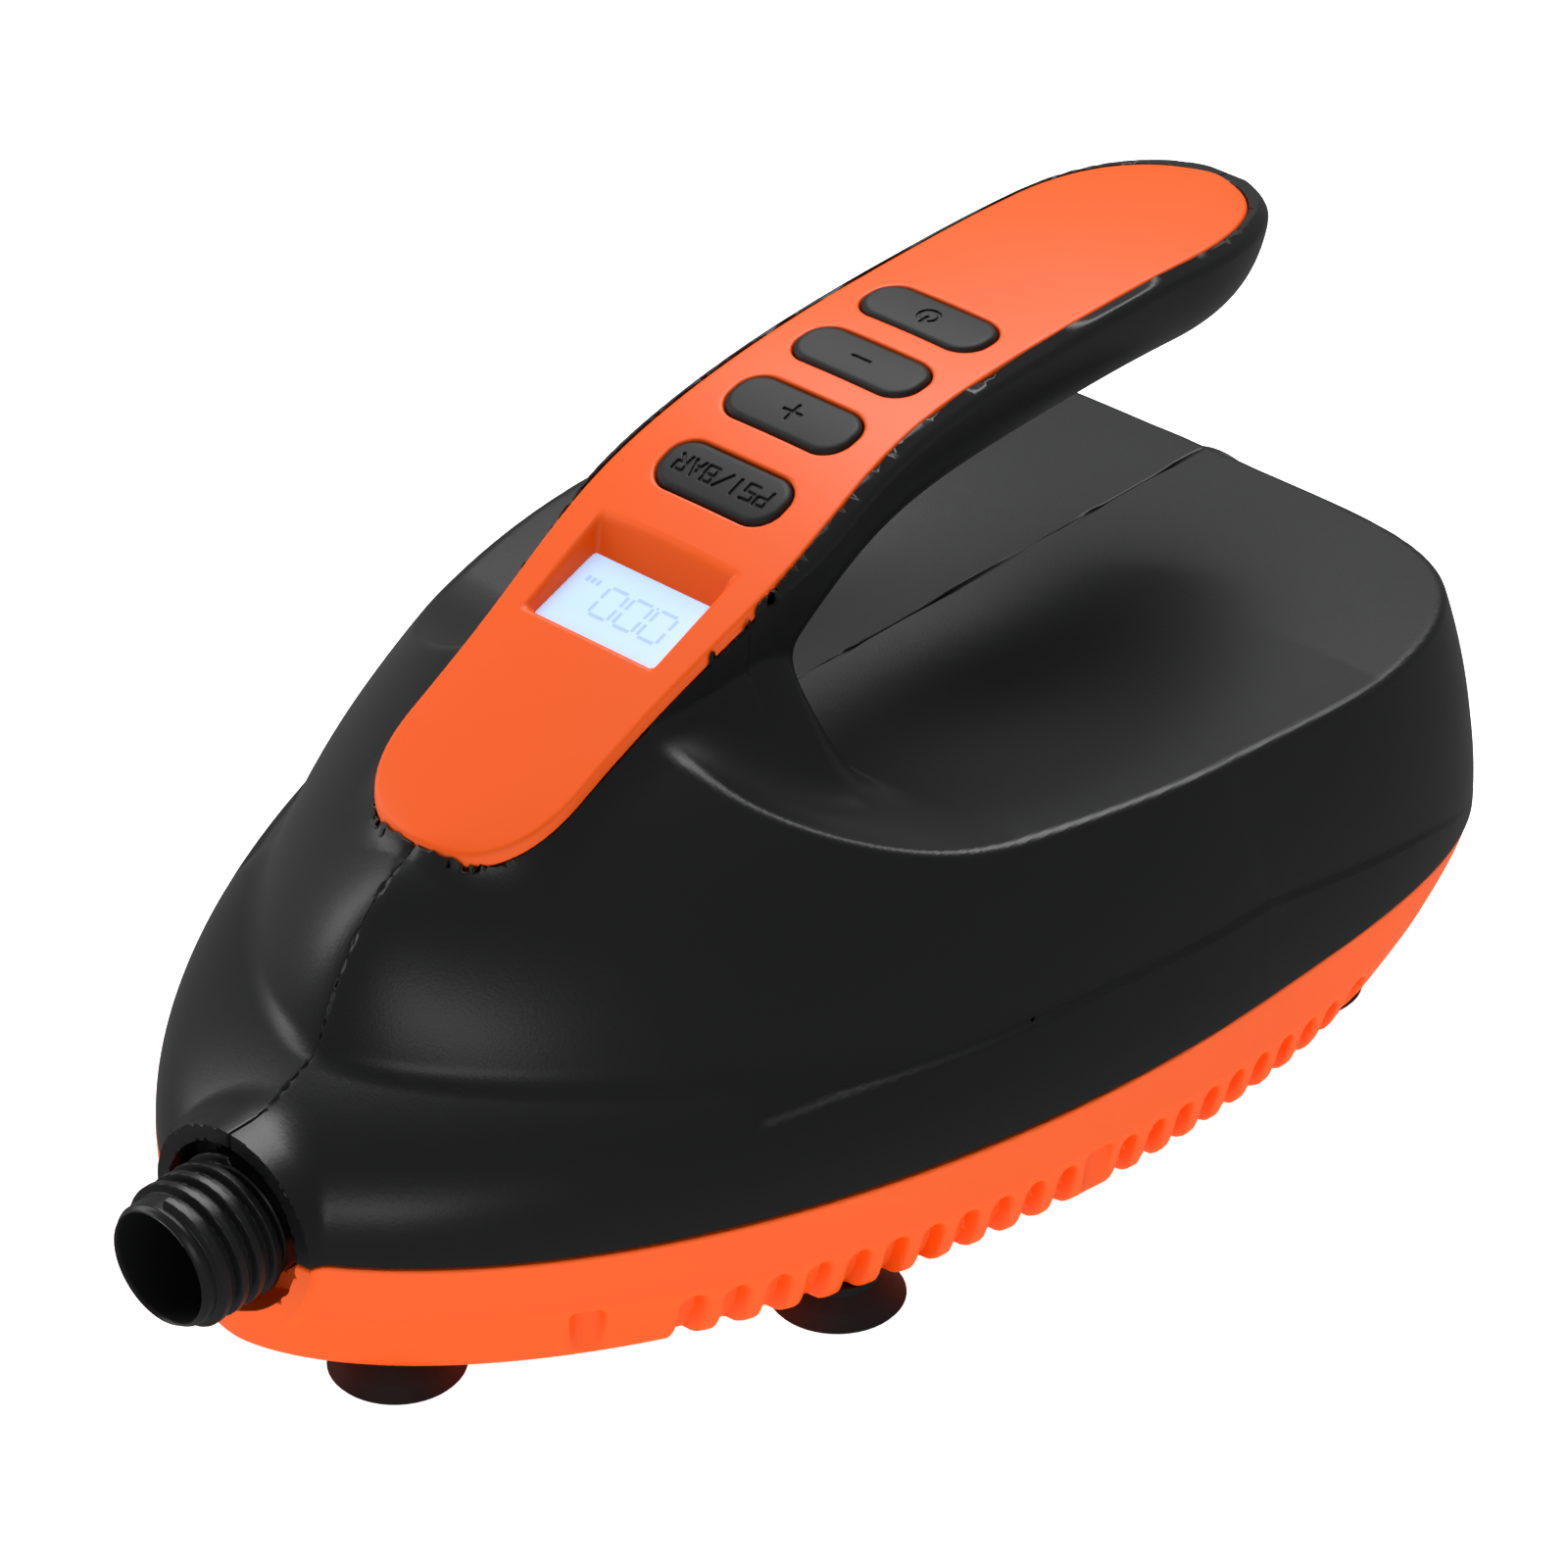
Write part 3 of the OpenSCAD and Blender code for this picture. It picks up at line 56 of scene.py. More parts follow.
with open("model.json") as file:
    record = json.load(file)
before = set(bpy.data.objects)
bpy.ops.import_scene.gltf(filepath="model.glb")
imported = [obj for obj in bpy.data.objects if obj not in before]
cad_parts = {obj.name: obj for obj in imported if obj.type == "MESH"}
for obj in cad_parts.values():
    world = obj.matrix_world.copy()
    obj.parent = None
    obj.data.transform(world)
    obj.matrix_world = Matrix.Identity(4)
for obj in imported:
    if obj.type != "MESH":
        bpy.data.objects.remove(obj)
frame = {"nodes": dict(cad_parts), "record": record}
NODES = frame["nodes"]
MM = 0.001


# Small numeric helpers, all on whole arrays, lengths in millimetres

def clamp01(v):
    return np.clip(v, 0.0, 1.0)


def ease(v):
    v = clamp01(v)
    return v * v * (3 - 2 * v)


def mix(a, b, f):
    return a + (b - a) * f


def hyper_min(a, b, k):
    return (a + b - np.sqrt((a - b) ** 2 + k * k)) / 2


def soft_min(a, b, k):
    """Union of two distance fields with a fillet of about k."""
    h = np.maximum(k - np.abs(a - b), 0) / k
    return np.minimum(a, b) - h * h * k / 4


def soft_max(a, b, k):
    """Intersection of two distance fields with a rounding of about k."""
    return -soft_min(-a, -b, k)


def power(v, e):
    return np.power(np.maximum(v, 0), e)


class Shape:
    """Named sizes in millimetres and degrees, the same values as the CAD source where it has them."""
    half_w = 95.0
    front_len = 186.0
    dome_front = 164.0
    rear_len = 102.0
    widest = 60.0
    seam_z = 33.0
    wall = 2.5
    deck_z = 80.5
    deck_fall = 0.02
    deck_dish = 4.0
    root_rise = 25.0
    rise_z = 129.5
    rise_slope = 0.505
    crest_z = 146.5
    grip_depth = 24.0
    panel_half = 21.5
    rim = 3.0
    handle_end = 165.0
    mouth = -140.0
    nozzle_z = 34.0
    nozzle_bore_r = 11.0
    collar_r = 20.0
    collar_y = (-121.0, -90.0)
    nozzle_hole_r = 12.7
    mouth_gap_r = 16.6
    mouth_gap_y = -115.0
    nose_solid_w = 16.0
    nose_solid_y = -96.0
    port_z = 57.0
    port_hole_r = 13.2
    inlet_at = (44.0, 46.0)
    inlet_hole_r = 6.1
    rear_holes_y = 140.0
    base_z = 7.0
    floor_z = 9.5
    vent_top = 16.6
    vent_half = 2.3
    vent_depth = 3.2
    vent_wall_z = 23.0
    notch_r = 3.4
    notch_top = 20.0
    front_tip = -126.0
    spine_front = -71.0
    spine_rear = 136.5
    shift = 14.0
    button_len = 30.0
    button_w = 12.5
    button_pitch = 19.5
    button_y0 = 12.5
    glass_w = 31.4
    glass_l = 18.0
    glass_y = -14.7
    glass_drop = 3.6
    glass_tilt = 19.0
    thread_pitch = 4.2
    thread_y = -136.6
    thread_root_r = 12.4
    thread_rise = 1.6


S = Shape


def top_z(y):
    """Height of the handle's top line: a rising line and a level line joined by a hyperbola, falling at the
    tail."""
    a = S.rise_z + S.rise_slope * y
    b = S.crest_z - 0.015 * y
    return hyper_min(a, b, 15.0) - 3.5 * (np.maximum(0, y - 100) / 58) ** 2


def top_slope(y):
    """Angle of the top line, in radians."""
    return np.arctan(top_z(y + 0.5) - top_z(y - 0.5))


def under_z(y):
    """Height of the handle's underside, dropping away exponentially towards the root."""
    return top_z(y) - S.grip_depth - 60 * np.exp(-np.minimum(60, y + 8) / 7)


def root_rise(x, y):
    """Rise of the deck against the handle root, steep towards the hand gap."""
    across = np.exp(-(np.maximum(0, x - 22) / 13) ** 2)
    return S.root_rise * across * ease((y + 45) / 50) * (1 - ease((y - 2) / 14))


def deck_at(x, y):
    """Height of the rear deck: falls to the rear, dished to its edges, curling up at the front."""
    return (S.deck_z - S.deck_fall * y + S.deck_dish * (x / 85) ** 2 * clamp01((110 - y) / 100)
            + 0.0085 * np.maximum(0, 16 - y) ** 2 + root_rise(x, y))


def panel_w(y):
    """Half width of the panel, with a bulge at the keys."""
    return S.panel_half + 3.5 * np.exp(-((y - 3) / 28) ** 2)


def end_round(y, y0, y1, len0, len1):
    """Factor that rounds a plan width off at both ends with superellipse arcs."""
    a = power(1 - clamp01((y0 + len0 - y) / len0) ** 2.4, 1 / 2.4)
    b = power(1 - clamp01((y - y1 + len1) / len1) ** 2.2, 1 / 2.2)
    return a * b


def outline(t, hw, fl, rl):
    """Plan outline for t in degrees, 0 at the front tip and 180 at the rear tip: superellipse arcs."""
    front = t < 90
    a = np.radians(np.where(front, 90 - t, t - 90))
    x = hw * power(np.cos(a), np.where(front, 1.2, 0.385))
    y = np.where(front, S.widest - fl * np.sin(a), S.widest + rl * power(np.sin(a), 0.6))
    return x, y


def dome_grid(t, p):
    """Dome surface: from each outline point a superellipse arc rises to the ridge line."""
    qx, qy = outline(t, S.half_w, S.dome_front, S.rear_len)
    b = ease((t - 60) / 50)
    m = n = mix(1.7, 2.1, b)
    f = (qy - S.widest + S.dome_front) / (S.dome_front + S.rear_len)
    sy = mix(S.spine_front, S.spine_rear, f)
    sz = hyper_min(S.rise_z - 2 + S.rise_slope * sy, 131.0, 10.0)
    c, s = power(np.cos(p), 2 / m), power(np.sin(p), 2 / n)
    return qx * c, sy + (qy - sy) * c, S.seam_z + (sz - S.seam_z) * s


def skirt_grid(t, p):
    """Skirt surface: the lower shoulder that makes the ledge round the nose."""
    qx, qy = outline(t, S.half_w - 0.4, S.front_len, S.rear_len - 0.4)
    f = (qy - S.front_tip) / (S.front_len + S.rear_len)
    b = ease(t / 70)
    sy, sz = mix(-60, S.spine_rear - 4, f), 66 + 18 * f
    c, s = power(np.cos(p), 2 / mix(2, 3, b)), power(np.sin(p), 2 / mix(2, 2.4, b))
    return qx * c, sy + (qy - sy) * c, S.seam_z + (sz - S.seam_z) * s


class Polar:
    """A closed body as a table of plan radius against direction and height about one vertical axis."""

    def __init__(self, grid, z0, z1, step=0.5, low=33.0):
        t = np.linspace(0, 180, 361)[:, None]
        p = np.radians(np.linspace(0, 90, 181))[None, :]
        x, y, z = grid(t, p)
        x, y, z = (np.broadcast_to(v, (361, 181)) for v in (x, y, z))
        self.th = np.linspace(0, math.pi, 721)
        self.z = np.arange(z0, z1, step)
        rows = []
        for h in self.z:
            zz = max(h, low + 1e-3)
            k = np.clip((z < zz).sum(1), 1, 180)
            i = np.arange(361)
            za, zb = z[i, k - 1], z[i, k]
            f = np.clip((zz - za) / np.maximum(zb - za, 1e-9), 0, 1)
            px, py = mix(x[i, k - 1], x[i, k], f), mix(y[i, k - 1], y[i, k], f)
            over = np.maximum(zz - z[:, -1], 0)
            ang = np.arctan2(px, -(py - S.widest))
            rad = np.hypot(px, py - S.widest) - 3.0 * over
            o = np.argsort(ang, kind="stable")
            rows.append(np.interp(self.th, ang[o], rad[o]))
        self.r = np.array(rows)
        k = np.array([1, 4, 6, 4, 1]) / 16.0
        pad = np.pad(self.r, ((2, 2), (2, 2)), mode="edge")
        pad[:, :2], pad[:, -2:] = pad[:, 4:2:-1], pad[:, -4:-6:-1]
        sm = sum(k[i] * pad[:, i:i + 721] for i in range(5))
        self.r = sum(k[i] * sm[i:i + len(self.z)] for i in range(5))
        self.rz = np.gradient(self.r, step, axis=0)
        self.rt = np.gradient(self.r, self.th[1], axis=1)

    def __call__(self, ax, y, z):
        """Signed distance estimate at points with half-plane distance ax, station y and height z."""
        rho = np.hypot(ax, y - S.widest)
        a = np.arctan2(ax, -(y - S.widest)) / self.th[1]
        b = np.clip((z - self.z[0]) / (self.z[1] - self.z[0]), 0, len(self.z) - 1.001)
        i, j = np.clip(a.astype(int), 0, 719), b.astype(int)
        fa, fb = a - i, b - j

        def look(tab):
            return mix(mix(tab[j, i], tab[j, i + 1], fa), mix(tab[j + 1, i], tab[j + 1, i + 1], fa), fb)
        r = look(self.r)
        g = np.sqrt(1 + look(self.rz) ** 2 + (look(self.rt) / np.maximum(rho, 20)) ** 2)
        return (rho - r) / g


# Distance field meshing

PAIRS = ((0, 0), (1, 1), (2, 2), (0, 1), (0, 2), (1, 2))
PULL_TO_MEAN = 0.12
CELL_REACH = 0.62


def net(field, lo, hi, step):
    """Dual contour of field = 0 inside a box: one vertex in each cell that the surface crosses, where the
    tangent planes at the crossings on the cell's edges meet best, so that edges stay sharp, then two Newton
    steps."""
    axes = [np.arange(a, b + step, step) for a, b in zip(lo, hi)]
    nx, ny, nz = (len(a) for a in axes)
    V = np.empty((nx, ny, nz), np.float32)
    yy, zz = np.meshgrid(axes[1], axes[2], indexing="ij")
    for i in range(0, nx, 8):
        xs = axes[0][i:i + 8]
        shape = (len(xs),) + yy.shape
        x, y, z = (np.broadcast_to(v, shape).reshape(-1) for v in (xs[:, None, None], yy, zz))
        V[i:i + 8] = field(x, y, z).reshape(shape)
    sgn = V < 0
    corners = [(a, b, c) for a in (0, 1) for b in (0, 1) for c in (0, 1)]
    count = sum(sgn[a:nx - 1 + a, b:ny - 1 + b, c:nz - 1 + c].astype(np.int8) for a, b, c in corners)
    ci, cj, ck = np.nonzero((count > 0) & (count < 8))
    n = len(ci)
    ids = np.full((nx - 1, ny - 1, nz - 1), -1, np.int32)
    ids[ci, cj, ck] = np.arange(n)
    org = np.array([v[0] for v in axes])
    mass, num = np.zeros((n, 3)), np.zeros(n)
    ata, atb = np.zeros((n, 6)), np.zeros((n, 3))
    quads, rows = [], []
    for ax in range(3):
        b, c = (ax + 1) % 3, (ax + 2) % 3
        sl0, sl1 = [slice(None)] * 3, [slice(None)] * 3
        sl0[ax], sl1[ax] = slice(0, -1), slice(1, None)
        A, B = sgn[tuple(sl0)], sgn[tuple(sl1)]
        e = np.stack(np.nonzero(A != B), 1)
        ok = (e[:, b] > 0) & (e[:, c] > 0) & (e[:, b] < V.shape[b] - 1) & (e[:, c] < V.shape[c] - 1)
        e = e[ok]
        flip = A[tuple(e.T)]
        e1 = e.copy()
        e1[:, ax] += 1
        va, vb = V[tuple(e.T)].astype(float), V[tuple(e1.T)].astype(float)
        p = org + e * step
        p[:, ax] += step * va / (va - vb)
        q = []
        for ub, uc in ((1, 1), (0, 1), (0, 0), (1, 0)):
            k = e.copy()
            k[:, b] -= ub
            k[:, c] -= uc
            q.append(ids[tuple(k.T)])
        q = np.stack(q, 1)
        rows.append((p, q.copy()))
        q[~flip] = q[~flip][:, ::-1]
        quads.append(q)
    for p, q in rows:
        g = unit(slope(field, p, 0.05 * step))
        d = (g * p).sum(1)
        cols = np.stack([g[:, i] ** 2 if i == j else g[:, i] * g[:, j] for i, j in PAIRS], 1)
        for k in range(4):
            w = q[:, k]
            num += np.bincount(w, minlength=n)
            for m in range(3):
                mass[:, m] += np.bincount(w, p[:, m], n)
                atb[:, m] += np.bincount(w, g[:, m] * d, n)
            for m in range(6):
                ata[:, m] += np.bincount(w, cols[:, m], n)
    Q = np.concatenate(quads)
    Q = Q[(Q >= 0).all(1)]
    mid = org + (np.stack([ci, cj, ck], 1) + 0.5) * step
    used = num > 0
    mass = np.where(used[:, None], mass / np.maximum(num, 1)[:, None], mid)
    M = np.empty((n, 3, 3))
    for m, (i, j) in enumerate(PAIRS):
        M[:, i, j] = M[:, j, i] = ata[:, m]
    rhs = atb - np.einsum("nij,nj->ni", M, mass)
    M[:, range(3), range(3)] += PULL_TO_MEAN
    P = mass + np.linalg.solve(M, rhs[:, :, None])[:, :, 0]
    P = np.clip(P, mid - CELL_REACH * step, mid + CELL_REACH * step)
    for _ in range(2):
        f = field(*P.T)
        g = slope(field, P, 0.1 * step)
        n2 = np.maximum((g * g).sum(1), 0.25)
        move = -(f / n2)[:, None] * g
        ln = np.linalg.norm(move, axis=1)
        P = P + move * np.minimum(1, 0.25 * step / np.maximum(ln, 1e-9))[:, None]
    return P, Q


def slope(field, P, h):
    """Central differences of the field at points P."""
    out = []
    for ax in range(3):
        d = np.zeros(3)
        d[ax] = h
        out.append((field(*(P + d).T) - field(*(P - d).T)) / (2 * h))
    return np.stack(out, 1)


def unit(v):
    """Vectors scaled to length one."""
    return v / np.maximum(np.linalg.norm(v, axis=-1, keepdims=True), 1e-12)


def new_object(name, P, faces, normals=None, smooth=True):
    """Makes a mesh object from points in millimetres and an array of equal-sided faces, moved to the shared
    frame and scaled to metres."""
    V = (np.asarray(P, float) - np.array([0, S.shift, 0])) * MM
    me = bpy.data.meshes.new(name)
    n, k = faces.shape
    me.vertices.add(len(V))
    me.vertices.foreach_set("co", V.ravel())
    me.loops.add(n * k)
    me.loops.foreach_set("vertex_index", faces.ravel().astype(np.int32))
    me.polygons.add(n)
    me.polygons.foreach_set("loop_start", np.arange(0, n * k, k, dtype=np.int32))
    me.update(calc_edges=True)
    me.validate()
    me.polygons.foreach_set("use_smooth", np.full(len(me.polygons), smooth))
    if normals is not None and len(me.loops) == normals.size // 3:
        me.normals_split_custom_set(unit(normals.reshape(-1, 3)).tolist())
    ob = bpy.data.objects.new(name, me)
    bpy.context.scene.collection.objects.link(ob)
    return ob


def seg_dist(a, b, p, q):
    """Distance in a plane from points (a, b) to the line piece p-q."""
    d = np.subtract(q, p)
    t = clamp01(((a - p[0]) * d[0] + (b - p[1]) * d[1]) / max(d @ d, 1e-9))
    return np.hypot(a - p[0] - t * d[0], b - p[1] - t * d[1])


TABLES = {}


def table(name):
    """The polar tables of dome, skirt and tray wall, made once."""
    if name not in TABLES:
        if name == "tray":
            TABLES[name] = Polar(tray_grid, S.base_z, 33.4, low=S.base_z)
        elif name == "dome":
            TABLES[name] = Polar(dome_grid, 32.0, 134.0)
        else:
            TABLES[name] = Polar(skirt_grid, 32.0, 88.0)
    return TABLES[name]


def tray_grid(t, p):
    """Tray wall: the outline drawn in towards the bottom, most at the rear, with a small lip at the foot."""
    h = p / (math.pi / 2)
    k = 1 - h
    r, lip = k ** 1.4, 1.6 * k ** 8
    side = mix(1.6, 6.0, ease((t - 80) / 60))
    a = np.radians(np.where(t < 90, 90 - t, t - 90))
    x = (S.half_w - side * r - lip) * power(np.cos(a), np.where(t < 90, 1.2, 0.385))
    y = np.where(t < 90, S.widest - (S.front_len - 1.5 * r - lip) * np.sin(a),
                 S.widest + (S.rear_len - 34 * r - lip) * power(np.sin(a), 0.6))
    return x, y, S.base_z + (S.seam_z - S.base_z) * h + 0 * t


def grip_field(ax, y, z):
    """Handle: a bar under the top line, as wide as the panel and its rim, round below and at the tail."""
    def width(v):
        return (panel_w(v) + S.rim) * end_round(v, S.spine_front - S.rim, S.handle_end, 24, 42)
    w = width(y)
    dw = (width(y + 0.3) - width(y - 0.3)) / 0.6
    inside = (y > S.spine_front - S.rim) & (y < S.handle_end)
    dw = np.where(inside, np.clip(dw, -6, 6), 0)
    fx = (ax - w) / np.sqrt(1 + dw * dw)
    fx = np.maximum(fx, np.maximum(y - S.handle_end, S.spine_front - S.rim - y))
    zt = top_z(y)
    shrink = mix(0.25, 1.0, power(w / (S.panel_half + S.rim), 0.8))
    d = (zt - np.maximum(under_z(y), 40.0)) * np.minimum(shrink, 1)
    low = zt - d
    ds = (under_z(y + 0.3) - under_z(y - 0.3)) / 0.6
    fb = (low - z) / np.sqrt(1 + np.clip(ds, 0, 8) ** 2)
    cs = 1 / np.sqrt(1 + ((top_z(y + 0.3) - top_z(y - 0.3)) / 0.6) ** 2)
    ft = (z - zt) * cs
    cham = (fx + ft * 1.25 + 2.6) / 1.6
    side = soft_max(fx, fb, 22.0)
    return np.maximum(soft_max(side, cham, 1.0), ft)


def plate_field(ax, y, z, grow, lo, hi, crown):
    """Panel plate between two copies of the top line, rounded in plan at both ends."""
    def width(v):
        return panel_w(v) * end_round(v, S.spine_front, S.handle_end - 6, 22, 38)
    w = width(y)
    dw = np.clip((width(y + 0.3) - width(y - 0.3)) / 0.6, -6, 6)
    inside = (y > S.spine_front) & (y < S.handle_end - 6)
    fx = (ax - w) / np.sqrt(1 + np.where(inside, dw, 0) ** 2)
    fx = np.maximum(fx, np.maximum(y - S.handle_end + 6, S.spine_front - y)) - grow
    cs = 1 / np.sqrt(1 + ((top_z(y + 0.3) - top_z(y - 0.3)) / 0.6) ** 2)
    zt = top_z(y)
    up = (z - zt - hi - crown * clamp01(1 - (ax / np.maximum(w, 1)) ** 2)) * cs
    return soft_max(soft_max(fx, up, 0.9), (zt + lo - z) * cs, 0.5)


# The line of the shallow step along the side, as stations and heights.
SWOOSH = [(-62, 38.5), (-57.7, 46), (-50.5, 50.3), (-35.6, 51.7), (-11, 52.1),
          (23.8, 53.5), (65.3, 52.5), (115.3, 43.7), (150, 34)]


def collar_field(ax, y, z):
    """The short round collar that the nozzle stands in."""
    y0, y1 = S.collar_y
    return np.maximum(np.hypot(ax, z - S.nozzle_z) - S.collar_r, np.maximum(y0 - y, y - y1))


def nose_solid(ax, y):
    """The block in the nose that stays solid round the nozzle."""
    return np.maximum(ax - S.nose_solid_w, y - S.nose_solid_y)


def hull_field(ax, y, z):
    """Outside of the two shell halves: dome and skirt with a crease between, cut by the deck, with the handle
    and the nozzle collar blended on and a shallow step along the side."""
    dome = table("dome")(ax, y, z)
    skirt = table("skirt")(ax, y, z)
    body = soft_min(dome, skirt, 2.2)
    line = np.interp(y, [p[0] for p in SWOOSH], [p[1] for p in SWOOSH])
    amount = 0.9 * ease((y + 60) / 12) * ease((150 - y) / 60)
    body = body + amount * ease((z - line + 0.7) / 1.4) * np.exp(-np.maximum(z - line, 0) / 10)
    bowl = 3.0 * np.exp(-((ax - 36) / 24) ** 2) * np.exp(-((y - 58) / 34) ** 2)
    dx = (deck_at(ax + 0.4, y) - deck_at(ax - 0.4, y)) / 0.8
    dy = (deck_at(ax, y + 0.4) - deck_at(ax, y - 0.4)) / 0.8
    deck = (z - deck_at(ax, y) + bowl) / np.sqrt(1 + dx * dx + dy * dy)
    body = soft_max(body, deck, 1.6)
    body = soft_min(body, grip_field(ax, y, z), 5.0)
    return soft_min(body, collar_field(ax, y, z), 2.5)


def nozzle_cut(ax, y, z):
    """Space for the hose nozzle: its tube, and a wider ring gap at the mouth of the collar."""
    rad = np.hypot(ax, z - S.nozzle_z)
    return np.minimum(np.maximum(rad - S.nozzle_hole_r, y - S.collar_y[1]),
                      np.maximum(rad - S.mouth_gap_r, y - S.mouth_gap_y))


def shell_field(x, y, z, inlet):
    """Right half of the shell, hollow, with the panel's recess, the nozzle's room and the rear holes."""
    ax = np.abs(x)
    out = hull_field(ax, y, z)
    room = np.maximum(out + S.wall, -nose_solid(ax, y))
    f = soft_max(out, -room, 0.5)
    f = np.maximum(f, -nozzle_cut(ax, y, z))
    f = np.maximum(f, -plate_field(ax, y, z, 0.15, -3.15, 6.0, 0.0))
    port = np.maximum(np.hypot(ax, z - S.port_z) - S.port_hole_r, S.rear_holes_y - y)
    f = np.maximum(f, -port)
    if inlet:
        rad = np.hypot(x - S.inlet_at[0], z - S.inlet_at[1])
        f = np.maximum(f, -np.maximum(rad - S.inlet_hole_r, S.rear_holes_y - y))
    f = soft_max(f, 33.15 - z, 0.6)
    return np.maximum(f, 0.02 - x)


BOSS_Y = (-84.0, 18.0, 95.0)


def vent_stations():
    """Stations of the vents: a front and a rear row on each side, parted at the middle boss."""
    return np.concatenate([np.linspace(-66, 10.5, 11), np.linspace(26, 87, 9)])


def tray_half_w(y):
    """Half width of the tray at a station, near its foot."""
    base = (S.half_w - 1.6) * power(1 - clamp01((S.widest - y) / (S.front_len - 1.5)) ** 2, 0.6)
    return base - 4.4 * ease((y - 40) / 60)


def tray_field(x, y, z):
    """Tray: the wall table closed by a floor, hollow and open above, with a cradle for the nozzle, vents that
    are round at the top and open below, and half-round screw notches."""
    ax = np.abs(x)
    wall = table("tray")(ax, y, z) + 0.11 * np.maximum(20.5 - z, 0)
    out = soft_max(wall, S.base_z - z, 2.5)
    out = soft_min(out, collar_field(ax, y, z), 2.0)
    thick = wall + S.wall + 3.6 * ease((S.vent_wall_z - z) / 3)
    room = np.maximum(np.maximum(thick, S.floor_z - z), -nose_solid(ax, y))
    f = soft_max(out, -room, 0.5)
    near = np.full(y.shape, 99.0)
    for v in vent_stations():
        dy = np.abs(y - v)
        arch = np.where(z > S.vent_top, np.hypot(dy, z - S.vent_top), dy)
        near = np.minimum(near, arch - S.vent_half)
    vents = np.maximum(np.maximum(near, -(wall + S.vent_depth)), 25 - ax)
    f = soft_max(f, -vents, 0.8)
    for v in BOSS_Y:
        r = np.hypot(ax - float(tray_half_w(np.array(v))) - 0.9, y - v) - S.notch_r
        f = soft_max(f, -soft_max(r, z - S.notch_top, 2.0), 0.7)
    f = np.maximum(f, -nozzle_cut(ax, y, z))
    return soft_max(f, z - 32.9, 0.6)


def glass_frame(y, z):
    """Coordinates along and above the display, which leans back less than the panel."""
    a = math.radians(S.glass_tilt)
    dy, dz = y - S.glass_y, z - (top_z(np.array(S.glass_y)) - S.glass_drop)
    return dy * math.cos(a) + dz * math.sin(a), -dy * math.sin(a) + dz * math.cos(a)


def key_frame(i, y, z):
    """Coordinates along and above key i, square to the panel there."""
    y0 = S.button_y0 + S.button_pitch * i
    a = float(top_slope(np.array(y0)))
    dy, dz = y - y0, z - float(top_z(np.array(y0))) - 0.64
    return dy * math.cos(a) + dz * math.sin(a), -dy * math.sin(a) + dz * math.cos(a)


def pill(x, v, half_l, half_w):
    """Plan distance to a key outline: a rounded box whose corner radius is nearly its half width."""
    r = half_w * 0.88
    qx, qy = np.abs(x) - half_l + r, np.abs(v) - half_w + r
    return np.hypot(np.maximum(qx, 0), np.maximum(qy, 0)) + np.minimum(np.maximum(qx, qy), 0) - r


def panel_field(x, y, z):
    """Panel: the plate with a sloped display well and four key openings."""
    ax = np.abs(x)
    f = plate_field(ax, y, z, 0.0, -3.0, 0.0, 0.8)
    v, h = glass_frame(y, z)
    box = np.maximum(np.maximum(ax - 17.3, np.abs(v - 3.2) - 13.8), np.maximum(h - 7, -2.2 - h))
    f = np.minimum(f, np.maximum(box, plate_field(ax, y, z, -3.0, -12.0, -1.0, 0.0)))
    up = np.maximum(h + 0.5, 0)
    well = soft_max((ax - 15.3 - 0.34 * up) / 1.05, (v - 8.7 - 1.0 * up) / 1.41, 1.2)
    well = soft_max(well, (-8.8 - 0.37 * up - v) / 1.07, 1.2)
    well = np.maximum(well, -0.2 - h)
    f = soft_max(f, -well, 1.0)
    f = np.maximum(f, -np.maximum(np.maximum(ax - 15.85, np.abs(v) - 9.15), h - 0.1))
    for i in range(4):
        v, h = key_frame(i, y, z)
        opening = pill(x, v, S.button_len / 2 + 0.3, S.button_w / 2 + 0.3)
        f = soft_max(f, -np.maximum(opening, np.abs(h) - 8), 0.7)
    return f


# Letter strokes on a grid one wide and two high.
MARKS = {
    "P": [(0, 0, 0, 2), (0, 2, 1, 2), (1, 2, 1, 1), (1, 1, 0, 1)],
    "S": [(1, 2, 0, 2), (0, 2, 0, 1), (0, 1, 1, 1), (1, 1, 1, 0), (1, 0, 0, 0)],
    "I": [(0.5, 0, 0.5, 2)],
    "/": [(0, 0, 1, 2)],
    "B": [(0, 0, 0, 2), (0, 2, 0.9, 2), (0.9, 2, 0.9, 1.1), (0, 1.05, 1, 1.05), (1, 1, 1, 0), (1, 0, 0, 0)],
    "A": [(0, 0, 0.5, 2), (0.5, 2, 1, 0), (0.25, 0.75, 0.75, 0.75)],
    "R": [(0, 0, 0, 2), (0, 2, 1, 2), (1, 2, 1, 1), (1, 1, 0, 1), (0.4, 1, 1, 0)],
}


